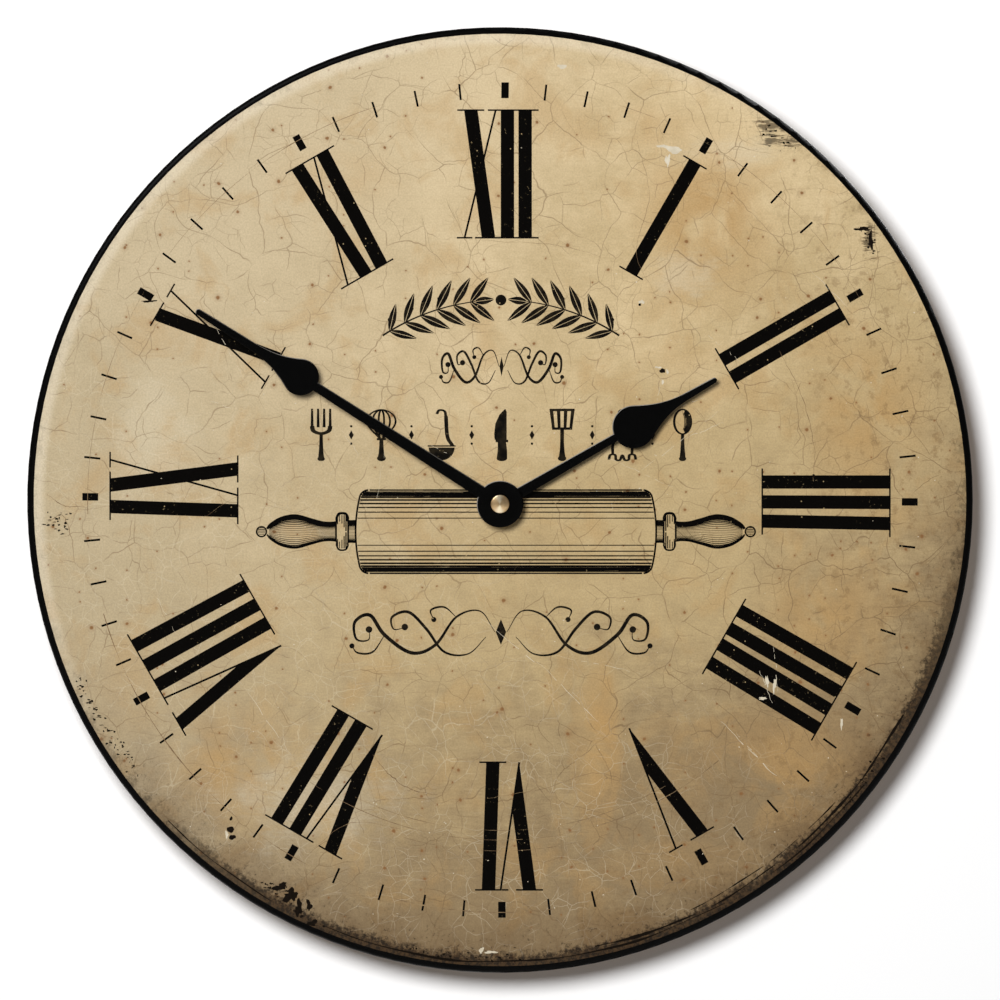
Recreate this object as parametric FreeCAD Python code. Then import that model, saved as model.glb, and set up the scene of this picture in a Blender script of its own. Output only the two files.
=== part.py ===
"""Battery wall clock: a round printed board dial on a quartz movement, with a hanger plate.

Lengths are in millimetres. Each piece is drawn on the bench frame, where x points right,
y points up and w points forward, out of the dial. The wall plane is w = 0 and the hands'
axis is x = y = 0. The last step stands the clock up, so that +Z is up and +Y is the wall.
"""

import FreeCAD
import Part
import math
import os

# --- dial ---
dial_radius = 152.4
dial_rise = 1.3
dial_board_thickness = 6.35
rim_width = 2.25
rim_round = 1.9
rear_edge_round = 0.6
sheet_thickness = 0.25
dial_hole_clearance = 0.25

# --- threaded neck that clamps the dial ---
bushing_radius = 3.95
bushing_flange_width = 1.6
bushing_flange_thickness = 0.9
bushing_past_nut = 0.7
neck_clearance = 0.05
hanger_thickness = 1.0
rubber_thickness = 1.2
rubber_radius = 14.0
washer_thickness = 0.6
washer_width = 2.6
nut_height = 2.2
nut_wall = 1.6
nut_chamfer = 0.35

# --- concentric pipes and arbor, one inside the other ---
running_gap = 0.08
seconds_arbor_radius = 0.5
minute_pipe_radius = 1.8
minute_flat_radius = 1.6
minute_flat_half = 1.4
minute_thread_radius = 1.45
hour_pipe_radius = 2.5
minute_pipe_start = 6.55

# --- hands ---
hand_thickness = 0.5
hand_bevel = 0.25
hub_radius = 7.5
hour_hand_length = 80.4
hour_bulb_distance = 49.6
hour_bulb_radius = 6.9
hour_neck_distance = 70.5
hour_neck_half = 1.2
hour_tip_half = 0.9
hour_stem_half_at_hub = 1.85
hour_stem_half_at_bulb = 1.3
minute_hand_length = 115.8
minute_bulb_distance = 75.9
minute_bulb_radius = 5.9
minute_neck_distance = 98.0
minute_neck_half = 1.3
minute_tip_half = 0.98
minute_stem_half_at_hub = 2.1
minute_stem_half_at_bulb = 1.5
bulb_leave_angle = 62.0
blade_pull = 0.42
blade_ease = 0.9
hour_hand_angle = 60.0
minute_hand_angle = 302.5
bushing_to_collet = 0.6
collet_flange = 1.1
collet_wall = 0.6
collet_lip = 1.2
hour_pipe_past_hand = 0.2
hand_to_hand = 1.3
cap_nut_radius = 2.95
cap_nut_height = 3.0
cap_nut_edge = 0.4
cap_nut_crown = 0.45
cap_nut_roof = 0.6
minute_pipe_past_hand = 2.3
arbor_short_of_pipe = 0.7

# --- movement housing ---
case_wall = 1.4
case_front_wall = 1.2
case_corner = 3.0
case_edge = 0.7
case_top = 28.0
cover_thickness = 1.2
cover_gap = 0.1
train_front = 14.8
train_floor = -10.2
plate_rear = 6.5
plate_thickness = 0.6
plate_left = -18.5
plate_right = 19.5
plate_bottom = -9.6
plate_top = 8.0
plate_corner = 1.5
plate_post_radius = 1.2
plate_post_x = 17.5
plate_post_low = -8.0
plate_post_high = 6.6
boss_radius = 1.2
pivot_radius = 0.3
pivot_length = 0.8
end_shake = 0.15
ledge_length = 4.0
ledge_reach = 1.2
ledge_depth = 3.0
clip_width = 6.0
clip_thickness = 1.0
clip_depth = 4.4
clip_hook = 0.7
clip_hook_height = 1.2
clip_play = 0.15
clip_centre = 16.0
ledge_places = (-14.0, 4.0)

# --- battery bay ---
battery_radius = 7.1
battery_length = 50.5
battery_nub_radius = 2.75
battery_nub_height = 1.5
battery_edge = 0.4
battery_side_gap = 0.4
battery_front_gap = 0.2
contact_room = 1.35
contact_thickness = 0.4
contact_gap = 0.1
contact_strip_width = 3.0
contact_strip_rear = 9.5
contact_plate_half = 4.0
contact_plate_rear = 4.0
contact_plate_front = 11.0
leaf_half = 5.0
leaf_thickness = 0.3
leaf_rear = 5.0
leaf_front = 10.0

# --- gears: arbor places, tooth counts and layers ---
pressure_angle = 25.0
addendum = 0.8
dedendum = 1.05
tooth_thinning = 0.05
flank_points = 5
intermediate_distance = 7.92
intermediate_bearing = 130.0
rotor_distance = 7.0
rotor_bearing = 110.0
third_distance = 10.2
third_bearing = 20.0
minute_distance = 10.24
minute_bearing = 180.0
seconds_wheel_teeth = 60
intermediate_pinion_teeth = 12
intermediate_wheel_teeth = 60
rotor_pinion_teeth = 10
seconds_pinion_teeth = 10
third_wheel_teeth = 75
third_pinion_teeth = 10
centre_wheel_teeth = 80
cannon_teeth = 16
minute_wheel_teeth = 48
minute_pinion_teeth = 12
hour_wheel_teeth = 48
seconds_wheel_layer = (3.0, 3.8)
seconds_pinion_front = 6.3
intermediate_pinion_rear = 2.7
intermediate_wheel_layer = (4.4, 4.9)
rotor_pinion_layer = (4.1, 5.2)
magnet_layer = (5.6, 8.2)
magnet_radius = 2.6
magnet_bore = 0.6
third_wheel_layer = (5.4, 6.1)
third_pinion_front = 8.8
third_pinion_hole = 1.9
centre_wheel_layer = (7.8, 8.5)
clutch_radius = 3.2
cannon_layer = (9.0, 11.0)
minute_wheel_layer = (9.3, 10.1)
minute_pinion_layer = (11.1, 12.9)
hour_wheel_layer = (11.7, 12.5)
rotor_post_radius = 1.5
third_post_radius = 1.25
minute_arbor_radius = 0.55
wheel_rim = 1.2
wheel_hub = 2.0
wheel_spoke = 1.1
wheel_spokes = 3
spoke_turn = 30.0

# --- hand setting knob ---
knob_radius = 5.6
knob_rear = 0.3
knob_thickness = 1.2
knob_grips = 24
knob_grip_radius = 0.35
knob_side_gap = 0.6
knob_floor_gap = 0.2
well_floor = 0.8
well_wall = 0.8

# --- stepping motor ---
stator_layer = (6.5, 7.4)
stator_bottom = 9.0
stator_bar_top = 16.0
stator_left = -24.0
stator_right = 6.0
stator_leg = 5.0
stator_leg_top = 22.8
stator_gap = 0.4
stator_post_radius = 1.5
core_thickness = 0.8
core_height = 4.6
bobbin_side_gap = 0.5
bobbin_wall = 0.5
bobbin_flange = 0.8
bobbin_flange_radius = 4.2
winding_radius = 3.8
lead_radius = 0.15
lead_spacing = 2.0
lead_over_board = 1.8

# --- circuit board ---
board_rear = 9.0
board_thickness = 1.0
board_left = 8.0
board_bottom = 15.0
board_post_radius = 1.4
board_post_inset = 4.0
chip_radius = 2.6
chip_height = 0.9
chip_inset = 1.0
crystal_radius = 1.0
crystal_length = 6.0
crystal_foot_radius = 0.8
crystal_foot_length = 0.6
crystal_inset = 2.0

# --- hanger ---
hanger_half_width = 12.0
hanger_bottom = -12.0
tab_top = 42.0
tab_corner = 4.0
keyhole_radius = 4.0
keyhole_height = 33.5
keyhole_slot_half = 2.0
keyhole_slot_rise = 5.5

# --- levels along w, each worked out from the one behind it ---
bay_front = max(train_front, 2 * battery_radius + 2 * battery_front_gap)
case_front = bay_front + case_front_wall
hanger_front = case_front + hanger_thickness
rubber_front = hanger_front + rubber_thickness
board_front = rubber_front + dial_board_thickness
sheet_front = board_front + sheet_thickness
washer_front = sheet_front + washer_thickness
nut_front = washer_front + nut_height
bushing_front = nut_front + bushing_past_nut
collet_rear = bushing_front + bushing_to_collet
hour_hand_rear = collet_rear + collet_lip
hour_hand_front = hour_hand_rear + hand_thickness
hour_pipe_front = hour_hand_front + hour_pipe_past_hand
minute_hand_rear = hour_hand_front + hand_to_hand
minute_hand_front = minute_hand_rear + hand_thickness
minute_pipe_front = minute_hand_front + minute_pipe_past_hand

# --- outline of the housing, from what it holds ---
bay_half = battery_length / 2 + contact_room
case_half = bay_half + case_wall
battery_bay_top = train_floor - case_wall
battery_bay_bottom = battery_bay_top - 2 * battery_radius - 2 * battery_side_gap
case_bottom = battery_bay_bottom - case_wall
bay_top = case_top - case_wall
battery_y = (battery_bay_top + battery_bay_bottom) / 2
battery_w = bay_front - battery_front_gap - battery_radius
dial_hole_radius = bushing_radius + dial_hole_clearance
neck_hole_radius = bushing_radius + neck_clearance
core_y = stator_leg_top - core_height / 2
core_w = stator_layer[1] + core_thickness / 2


# ---------------------------------------------------------------- simple solids

same_place = 1e-4


def vector(x, y, w):
    return FreeCAD.Vector(x, y, w)


def disc(radius, rear, front, x=0.0, y=0.0):
    return Part.makeCylinder(radius, front - rear, vector(x, y, rear))


def ring(outer, inner, rear, front, x=0.0, y=0.0):
    return disc(outer, rear, front, x, y).cut(disc(inner, rear, front, x, y))


def block(left, right, bottom, top, rear, front):
    return Part.makeBox(right - left, top - bottom, front - rear, vector(left, bottom, rear))


def rod_along_x(radius, left, right, y, w):
    return Part.makeCylinder(radius, right - left, vector(left, y, w), vector(1, 0, 0))


def prism(wire, rear, front):
    face = Part.Face(wire)
    face.translate(vector(0, 0, rear))
    return face.extrude(vector(0, 0, front - rear))


def joined(first, others):
    return first.multiFuse(others).removeSplitter()


def edges_at(shape, level):
    """Edges that lie wholly at one w level."""
    found = []
    for edge in shape.Edges:
        box = edge.BoundBox
        if abs(box.ZMin - level) < same_place and abs(box.ZMax - level) < same_place:
            found.append(edge)
    return found


def edges_along_w(shape, at_y=None):
    """Edges that run straight along w, or only those of them at one y."""
    found = []
    for edge in shape.Edges:
        box = edge.BoundBox
        straight = box.XLength < same_place and box.YLength < same_place
        if straight and (at_y is None or abs(box.YMin - at_y) < same_place):
            found.append(edge)
    return found


def polar(distance, degrees):
    angle = math.radians(degrees)
    return distance * math.cos(angle), distance * math.sin(angle)


# ---------------------------------------------------------------- gears

def involute(angle):
    return math.tan(angle) - angle


def gear_wire(teeth, module, phase):
    """Closed outline of a spur gear about the origin, one tooth centred at phase (radians)."""
    pitch_radius = teeth * module / 2
    base_radius = pitch_radius * math.cos(math.radians(pressure_angle))
    tip_radius = pitch_radius + addendum * module
    root_radius = pitch_radius - dedendum * module
    start_radius = max(base_radius, root_radius)
    half_tooth = math.pi / (2 * teeth) - tooth_thinning / (2 * pitch_radius)
    full = half_tooth + involute(math.radians(pressure_angle))

    def point(radius, angle):
        return vector(radius * math.cos(angle), radius * math.sin(angle), 0)

    def flank(centre, side):
        points = []
        for step in range(flank_points):
            radius = start_radius + (tip_radius - start_radius) * step / (flank_points - 1)
            local = math.acos(min(1.0, base_radius / radius))
            points.append(point(radius, centre + side * (full - involute(local))))
        return points

    edges = []
    step_angle = 2 * math.pi / teeth
    for tooth in range(teeth):
        centre = phase + tooth * step_angle
        rising = flank(centre, -1)
        falling = flank(centre, 1)
        falling.reverse()
        root_in = point(root_radius, centre - full + involute(math.acos(base_radius / start_radius)))
        root_out = point(root_radius, centre + full - involute(math.acos(base_radius / start_radius)))
        next_in_angle = centre + step_angle - full + involute(math.acos(base_radius / start_radius))
        next_in = point(root_radius, next_in_angle)
        floor_middle = point(root_radius, centre + step_angle / 2)
        if start_radius > root_radius:
            edges.append(Part.makeLine(root_in, rising[0]))
        edges.append(smooth_edge(rising))
        edges.append(Part.Arc(rising[-1], point(tip_radius, centre), falling[0]).toShape())
        edges.append(smooth_edge(falling))
        if start_radius > root_radius:
            edges.append(Part.makeLine(falling[-1], root_out))
        edges.append(Part.Arc(root_out, floor_middle, next_in).toShape())
    return Part.Wire(edges)


def smooth_edge(points):
    curve = Part.BSplineCurve()
    curve.interpolate(points)
    return curve.toShape()


def gear(teeth, module, phase, layer, place):
    solid = prism(gear_wire(teeth, module, phase), layer[0], layer[1])
    solid.translate(vector(place[0], place[1], 0))
    return solid


def partner_phase(teeth, phase, partner_teeth, bearing):
    """Phase that puts the partner's gap on the tooth it faces, bearing being first to partner."""
    pitch = 2 * math.pi / teeth
    partner_pitch = 2 * math.pi / partner_teeth
    toward = math.radians(bearing)
    offset = (toward - phase) / pitch
    return toward + math.pi - (0.5 - offset) * partner_pitch


def meshing_module(distance, teeth, partner_teeth):
    return 2 * distance / (teeth + partner_teeth)


def spoked(wheel, teeth, module, layer, place, hub=wheel_hub, width=wheel_spoke, turn=spoke_turn):
    """Cuts windows in a wheel's web, leaving its rim, hub and spokes."""
    outer = teeth * module / 2 - dedendum * module - wheel_rim
    window = ring(outer, hub, layer[0], layer[1])
    for spoke in range(wheel_spokes):
        bar = block(0, outer + 1, -width / 2, width / 2, layer[0], layer[1])
        bar.rotate(vector(0, 0, 0), vector(0, 0, 1), 360 * spoke / wheel_spokes + turn)
        window = window.cut(bar)
    window.translate(vector(place[0], place[1], 0))
    return wheel.cut(window)


centre = (0.0, 0.0)
intermediate_place = polar(intermediate_distance, intermediate_bearing)
rotor_offset = polar(rotor_distance, rotor_bearing)
rotor_place = (intermediate_place[0] + rotor_offset[0], intermediate_place[1] + rotor_offset[1])
third_place = polar(third_distance, third_bearing)
minute_place = polar(minute_distance, minute_bearing)

seconds_module = meshing_module(intermediate_distance, seconds_wheel_teeth, intermediate_pinion_teeth)
rotor_module = meshing_module(rotor_distance, intermediate_wheel_teeth, rotor_pinion_teeth)
third_module = meshing_module(third_distance, seconds_pinion_teeth, third_wheel_teeth)
centre_module = meshing_module(third_distance, third_pinion_teeth, centre_wheel_teeth)
cannon_module = meshing_module(minute_distance, cannon_teeth, minute_wheel_teeth)
hour_module = meshing_module(minute_distance, minute_pinion_teeth, hour_wheel_teeth)

# heights of the cover's pivot bosses, a little behind what turns in front of them
seconds_boss = seconds_wheel_layer[0] - 2 * end_shake
intermediate_boss = intermediate_pinion_rear - 2 * end_shake
rotor_boss = rotor_pinion_layer[0] - 2 * end_shake
third_boss = third_wheel_layer[0] - 2 * end_shake
rotor_post_rear = magnet_layer[1] + 2 * end_shake
third_post_rear = third_pinion_front + 2 * end_shake
minute_boss_rear = minute_pinion_layer[1] + 2 * end_shake
knob_front = knob_rear + knob_thickness
well_front = knob_front + knob_floor_gap + well_floor


def rear_pivot(boss_top, body_rear, body_radius, place):
    """Thin pivot that sits in a cover boss, and the shoulder up to the arbor's first wheel."""
    pin = disc(pivot_radius, boss_top - pivot_length, boss_top + end_shake, *place)
    return pin.fuse(disc(body_radius, boss_top + end_shake, body_rear, *place))


def front_pivot(body_front, post_rear, body_radius, place):
    pin = disc(pivot_radius, post_rear - end_shake, post_rear + pivot_length, *place)
    return pin.fuse(disc(body_radius, body_front, post_rear - end_shake, *place))


def pivot_hole(face, inward, place):
    """Blind bearing hole in a boss or post; inward is +1 when it is drilled towards +w."""
    far = face + inward * (pivot_length + end_shake)
    return disc(pivot_radius + running_gap, min(face, far), max(face, far), *place)


# ---------------------------------------------------------------- dial and its clamp

def make_dial_board():
    """Round board, its hole for the neck a little below its own centre."""
    board = disc(dial_radius, rubber_front, board_front, 0, dial_rise)
    board = board.makeFillet(rim_round, edges_at(board, board_front))
    board = board.makeFillet(rear_edge_round, edges_at(board, rubber_front))
    return board.cut(disc(dial_hole_radius, rubber_front, board_front))


def make_dial_sheet():
    sheet = disc(dial_radius - rim_width, board_front, sheet_front, 0, dial_rise)
    return sheet.cut(disc(dial_hole_radius, board_front, sheet_front))


def make_rubber_washer():
    return ring(rubber_radius, dial_hole_radius, hanger_front, rubber_front)


def make_bushing():
    bore = hour_pipe_radius + running_gap
    flange_radius = bushing_radius + bushing_flange_width
    flange = ring(flange_radius, bore, bay_front - bushing_flange_thickness, bay_front)
    return flange.fuse(ring(bushing_radius, bore, bay_front, bushing_front)).removeSplitter()


def make_bushing_washer():
    return ring(neck_hole_radius + washer_width, neck_hole_radius, sheet_front, washer_front)


def make_hex_nut():
    flat = bushing_radius + nut_wall
    corners = []
    for corner in range(7):
        x, y = polar(flat / math.cos(math.pi / 6), 60 * corner)
        corners.append(vector(x, y, 0))
    body = prism(Part.makePolygon(corners), washer_front, nut_front)
    chamfer_radius = flat / math.cos(math.pi / 6)
    cone = Part.makeCone(chamfer_radius + nut_height, chamfer_radius - nut_chamfer,
                         nut_height + nut_chamfer, vector(0, 0, washer_front - nut_chamfer))
    return body.common(cone).cut(disc(bushing_radius, washer_front, nut_front))


def make_hanger():
    plate = block(-hanger_half_width, hanger_half_width, hanger_bottom,
                  case_top + hanger_thickness, case_front, hanger_front)
    over = block(-hanger_half_width, hanger_half_width, case_top,
                 case_top + hanger_thickness, 0, case_front)
    tab = block(-hanger_half_width, hanger_half_width, case_top, tab_top, 0, hanger_thickness)
    tab = tab.makeFillet(tab_corner, edges_along_w(tab, tab_top))
    keyhole = disc(keyhole_radius, 0, hanger_thickness, 0, keyhole_height)
    slot_top = keyhole_height + keyhole_slot_rise
    slot = block(-keyhole_slot_half, keyhole_slot_half, keyhole_height, slot_top, 0, hanger_thickness)
    slot_end = disc(keyhole_slot_half, 0, hanger_thickness, 0, slot_top)
    bushing_hole = disc(neck_hole_radius, case_front, hanger_front)
    return joined(plate, [over, tab]).cut(joined(keyhole, [slot, slot_end, bushing_hole]))


# ---------------------------------------------------------------- hands

def hand_outline(length, bulb_distance, bulb_radius, neck_distance, neck_half, tip_half,
                 stem_hub, stem_bulb):
    """Outline of a teardrop hand that points along +y, without its hub."""
    leave = math.radians(bulb_leave_angle)
    bulb_side_x = bulb_radius * math.sin(leave)
    bulb_side_y = bulb_distance + bulb_radius * math.cos(leave)
    enter_y = bulb_distance - math.sqrt(bulb_radius ** 2 - stem_bulb ** 2)
    pull = (neck_distance - bulb_side_y) * blade_pull
    right = Part.BezierCurve()
    right.setPoles([vector(bulb_side_x, bulb_side_y, 0),
                    vector(bulb_side_x - pull * math.cos(leave) * blade_ease,
                           bulb_side_y + pull * math.sin(leave) * blade_ease, 0),
                    vector(neck_half, neck_distance - pull, 0),
                    vector(neck_half, neck_distance, 0)])
    left = Part.BezierCurve()
    left.setPoles([vector(-pole.x, pole.y, 0) for pole in reversed(right.getPoles())])
    tip_y = length - tip_half
    edges = [
        Part.makeLine(vector(-stem_hub, 0, 0), vector(stem_hub, 0, 0)),
        Part.makeLine(vector(stem_hub, 0, 0), vector(stem_bulb, enter_y, 0)),
        Part.Arc(vector(stem_bulb, enter_y, 0), vector(bulb_radius, bulb_distance, 0),
                 vector(bulb_side_x, bulb_side_y, 0)).toShape(),
        right.toShape(),
        Part.makeLine(vector(neck_half, neck_distance, 0), vector(tip_half, tip_y, 0)),
        Part.Arc(vector(tip_half, tip_y, 0), vector(0, length, 0),
                 vector(-tip_half, tip_y, 0)).toShape(),
        Part.makeLine(vector(-tip_half, tip_y, 0), vector(-neck_half, neck_distance, 0)),
        left.toShape(),
        Part.Arc(vector(-bulb_side_x, bulb_side_y, 0), vector(-bulb_radius, bulb_distance, 0),
                 vector(-stem_bulb, enter_y, 0)).toShape(),
        Part.makeLine(vector(-stem_bulb, enter_y, 0), vector(-stem_hub, 0, 0)),
    ]
    return Part.Wire(edges)


def stamped_hand(outline, rear, hole, angle):
    """Sheet-metal hand with a round hub, its front outline bevelled, turned clockwise to angle."""
    front = rear + hand_thickness
    solid = joined(prism(outline, rear, front), [disc(hub_radius, rear, front)])
    solid = solid.makeChamfer(hand_bevel, edges_at(solid, front))
    solid = solid.cut(hole)
    solid.rotate(vector(0, 0, 0), vector(0, 0, 1), -angle)
    return solid


def make_hour_hand():
    outline = hand_outline(hour_hand_length, hour_bulb_distance, hour_bulb_radius,
                           hour_neck_distance, hour_neck_half, hour_tip_half,
                           hour_stem_half_at_hub, hour_stem_half_at_bulb)
    hole = disc(hour_pipe_radius + collet_wall, hour_hand_rear, hour_hand_front)
    return stamped_hand(outline, hour_hand_rear, hole, hour_hand_angle)


def make_hour_hand_collet():
    body = disc(hour_pipe_radius + collet_flange, collet_rear, hour_hand_rear)
    spigot = disc(hour_pipe_radius + collet_wall, hour_hand_rear, hour_hand_front)
    bore = disc(hour_pipe_radius, collet_rear, hour_hand_front)
    return body.fuse(spigot).cut(bore)


def flatted(radius, half, rear, front):
    return disc(radius, rear, front).common(block(-half, half, -radius, radius, rear, front))


def make_minute_hand():
    outline = hand_outline(minute_hand_length, minute_bulb_distance, minute_bulb_radius,
                           minute_neck_distance, minute_neck_half, minute_tip_half,
                           minute_stem_half_at_hub, minute_stem_half_at_bulb)
    hole = flatted(minute_flat_radius, minute_flat_half, minute_hand_rear, minute_hand_front)
    hole.rotate(vector(0, 0, 0), vector(0, 0, 1), minute_hand_angle)
    return stamped_hand(outline, minute_hand_rear, hole, minute_hand_angle)


def make_cap_nut():
    """Round domed nut, closed in front, that holds the minute hand on its pipe."""
    top = minute_hand_front + cap_nut_height
    crown_radius = (cap_nut_radius ** 2 + cap_nut_crown ** 2) / (2 * cap_nut_crown)
    ball = Part.makeSphere(crown_radius, vector(0, 0, top - crown_radius))
    body = disc(cap_nut_radius, minute_hand_front, top).common(ball)
    body = body.makeFillet(cap_nut_edge, edges_at(body, top - cap_nut_crown))
    return body.cut(disc(minute_thread_radius, minute_hand_front, top - cap_nut_roof))


# ---------------------------------------------------------------- pipes, arbors and wheels

def make_minute_pipe():
    seat = flatted(minute_flat_radius, minute_flat_half, minute_hand_rear, minute_hand_front)
    body = disc(minute_pipe_radius, minute_pipe_start, minute_hand_rear)
    thread = disc(minute_thread_radius, minute_hand_front, minute_pipe_front)
    bore = disc(seconds_arbor_radius + running_gap, minute_pipe_start, minute_pipe_front)
    return joined(body, [seat, thread]).cut(bore)


def make_hour_wheel():
    phase = partner_phase(minute_pinion_teeth, 0.0, hour_wheel_teeth, minute_bearing + 180)
    wheel = gear(hour_wheel_teeth, hour_module, phase, hour_wheel_layer, centre)
    pipe = disc(hour_pipe_radius, hour_wheel_layer[0], hour_pipe_front)
    bore = disc(minute_pipe_radius + running_gap, hour_wheel_layer[0], hour_pipe_front)
    return wheel.fuse(pipe).cut(bore)


def make_cannon_pinion():
    body = gear(cannon_teeth, cannon_module, 0.0, cannon_layer, centre)
    return body.cut(disc(minute_pipe_radius, cannon_layer[0], cannon_layer[1]))


def make_clutch_ring():
    return ring(clutch_radius, minute_pipe_radius, centre_wheel_layer[1], cannon_layer[0])


def make_centre_wheel():
    phase = partner_phase(third_pinion_teeth, 0.0, centre_wheel_teeth, third_bearing + 180)
    wheel = gear(centre_wheel_teeth, centre_module, phase, centre_wheel_layer, centre)
    wheel = wheel.cut(disc(minute_pipe_radius, centre_wheel_layer[0], centre_wheel_layer[1]))
    return spoked(wheel, centre_wheel_teeth, centre_module, centre_wheel_layer, centre,
                  hub=clutch_radius + wheel_rim, width=2 * wheel_spoke, turn=0)


def make_minute_wheel():
    """Minute wheel and its pinion on the arbor that the setting knob turns."""
    phase = partner_phase(cannon_teeth, 0.0, minute_wheel_teeth, minute_bearing)
    wheel = gear(minute_wheel_teeth, cannon_module, phase, minute_wheel_layer, minute_place)
    wheel = spoked(wheel, minute_wheel_teeth, cannon_module, minute_wheel_layer, minute_place)
    pinion = gear(minute_pinion_teeth, hour_module, 0.0, minute_pinion_layer, minute_place)
    arbor = disc(minute_arbor_radius, knob_rear, minute_boss_rear - end_shake, *minute_place)
    collar = disc(2 * minute_arbor_radius, minute_wheel_layer[1], minute_pinion_layer[0], *minute_place)
    tip = front_pivot(minute_pinion_layer[1], minute_boss_rear, minute_arbor_radius, minute_place)
    return joined(wheel, [pinion, arbor, collar, tip])


def make_setting_knob():
    knob = ring(knob_radius, minute_arbor_radius, knob_rear, knob_front, *minute_place)
    grips = []
    for grip in range(knob_grips):
        x, y = polar(knob_radius, 360 * grip / knob_grips)
        grips.append(disc(knob_grip_radius, knob_rear, knob_front,
                          minute_place[0] + x, minute_place[1] + y))
    return knob.cut(grips[0].multiFuse(grips[1:]))


def make_third_wheel():
    wheel_phase = partner_phase(seconds_pinion_teeth, 0.0, third_wheel_teeth, third_bearing)
    wheel = gear(third_wheel_teeth, third_module, wheel_phase, third_wheel_layer, third_place)
    wheel = spoked(wheel, third_wheel_teeth, third_module, third_wheel_layer, third_place)
    pinion_layer = (third_wheel_layer[1], third_pinion_front)
    pinion = gear(third_pinion_teeth, centre_module, 0.0, pinion_layer, third_place)
    rear = rear_pivot(third_boss, third_wheel_layer[0], seconds_arbor_radius, third_place)
    front = front_pivot(third_pinion_front, third_post_rear, seconds_arbor_radius, third_place)
    return joined(wheel, [pinion, rear, front])


def make_seconds_wheel():
    """Seconds wheel and pinion on the long arbor that runs inside the minute pipe."""
    wheel = gear(seconds_wheel_teeth, seconds_module, 0.0, seconds_wheel_layer, centre)
    wheel = spoked(wheel, seconds_wheel_teeth, seconds_module, seconds_wheel_layer, centre)
    pinion_layer = (seconds_wheel_layer[1], seconds_pinion_front)
    pinion = gear(seconds_pinion_teeth, third_module, 0.0, pinion_layer, centre)
    rear = rear_pivot(seconds_boss, seconds_wheel_layer[0], seconds_arbor_radius, centre)
    arbor = disc(seconds_arbor_radius, seconds_pinion_front, minute_pipe_front - arbor_short_of_pipe)
    return joined(wheel, [pinion, rear, arbor])


def make_intermediate_wheel():
    pinion_phase = partner_phase(seconds_wheel_teeth, 0.0, intermediate_pinion_teeth,
                                 intermediate_bearing)
    pinion_layer = (intermediate_pinion_rear, intermediate_wheel_layer[0])
    pinion = gear(intermediate_pinion_teeth, seconds_module, pinion_phase, pinion_layer,
                  intermediate_place)
    wheel = gear(intermediate_wheel_teeth, rotor_module, 0.0, intermediate_wheel_layer,
                 intermediate_place)
    wheel = spoked(wheel, intermediate_wheel_teeth, rotor_module, intermediate_wheel_layer,
                   intermediate_place)
    rear = rear_pivot(intermediate_boss, intermediate_pinion_rear, seconds_arbor_radius,
                      intermediate_place)
    shoulder = plate_rear - end_shake
    arbor = disc(seconds_arbor_radius, intermediate_wheel_layer[1], shoulder, *intermediate_place)
    tip = disc(pivot_radius, shoulder, plate_rear + plate_thickness + end_shake, *intermediate_place)
    return joined(pinion, [wheel, rear, arbor, tip])


def make_rotor_pinion():
    phase = partner_phase(intermediate_wheel_teeth, 0.0, rotor_pinion_teeth, rotor_bearing)
    pinion = gear(rotor_pinion_teeth, rotor_module, phase, rotor_pinion_layer, rotor_place)
    rear = rear_pivot(rotor_boss, rotor_pinion_layer[0], seconds_arbor_radius, rotor_place)
    seat = disc(magnet_radius, rotor_pinion_layer[1], magnet_layer[0], *rotor_place)
    stem = disc(magnet_bore, magnet_layer[0], magnet_layer[1], *rotor_place)
    front = front_pivot(magnet_layer[1], rotor_post_rear, magnet_bore, rotor_place)
    return joined(pinion, [rear, seat, stem, front])


def make_rotor_magnet():
    return ring(magnet_radius, magnet_bore, magnet_layer[0], magnet_layer[1], *rotor_place)


# ---------------------------------------------------------------- motor and circuit

def stator_post_places():
    y = (stator_bottom + stator_bar_top) / 2
    return [(stator_left + stator_leg / 2, y), (stator_right - stator_leg / 2, y)]


def make_stator():
    rear, front = stator_layer
    bar = block(stator_left, stator_right, stator_bottom, stator_bar_top, rear, front)
    left_leg = block(stator_left, stator_left + stator_leg, stator_bar_top, stator_leg_top, rear, front)
    right_leg = block(stator_right - stator_leg, stator_right, stator_bar_top, stator_leg_top, rear, front)
    bore = disc(magnet_radius + stator_gap, rear, front, *rotor_place)
    notch = disc(magnet_radius, rear, front, rotor_place[0] + stator_gap, rotor_place[1] + stator_gap)
    return joined(bar, [left_leg, right_leg]).cut(bore).cut(notch)


def make_coil_core():
    bottom = stator_leg_top - core_height
    return block(stator_left, stator_right, bottom, stator_leg_top,
                 stator_layer[1], stator_layer[1] + core_thickness)


coil_left = stator_left + stator_leg + bobbin_side_gap
coil_right = stator_right - stator_leg - bobbin_side_gap
coil_tube_half_y = core_height / 2 + bobbin_wall
coil_tube_half_w = core_thickness / 2 + bobbin_wall


def coil_tube(half_y, half_w, left, right):
    return block(left, right, core_y - half_y, core_y + half_y, core_w - half_w, core_w + half_w)


def make_coil_bobbin():
    tube = coil_tube(coil_tube_half_y, coil_tube_half_w, coil_left, coil_right)
    flanges = []
    for left in (coil_left, coil_right - bobbin_flange):
        flanges.append(rod_along_x(bobbin_flange_radius, left, left + bobbin_flange, core_y, core_w))
    hole = coil_tube(core_height / 2, core_thickness / 2, coil_left, coil_right)
    return joined(tube, flanges).cut(hole)


def make_coil_winding():
    left = coil_left + bobbin_flange
    right = coil_right - bobbin_flange
    inside = coil_tube(coil_tube_half_y, coil_tube_half_w, left, right)
    return rod_along_x(winding_radius, left, right, core_y, core_w).cut(inside)


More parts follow.
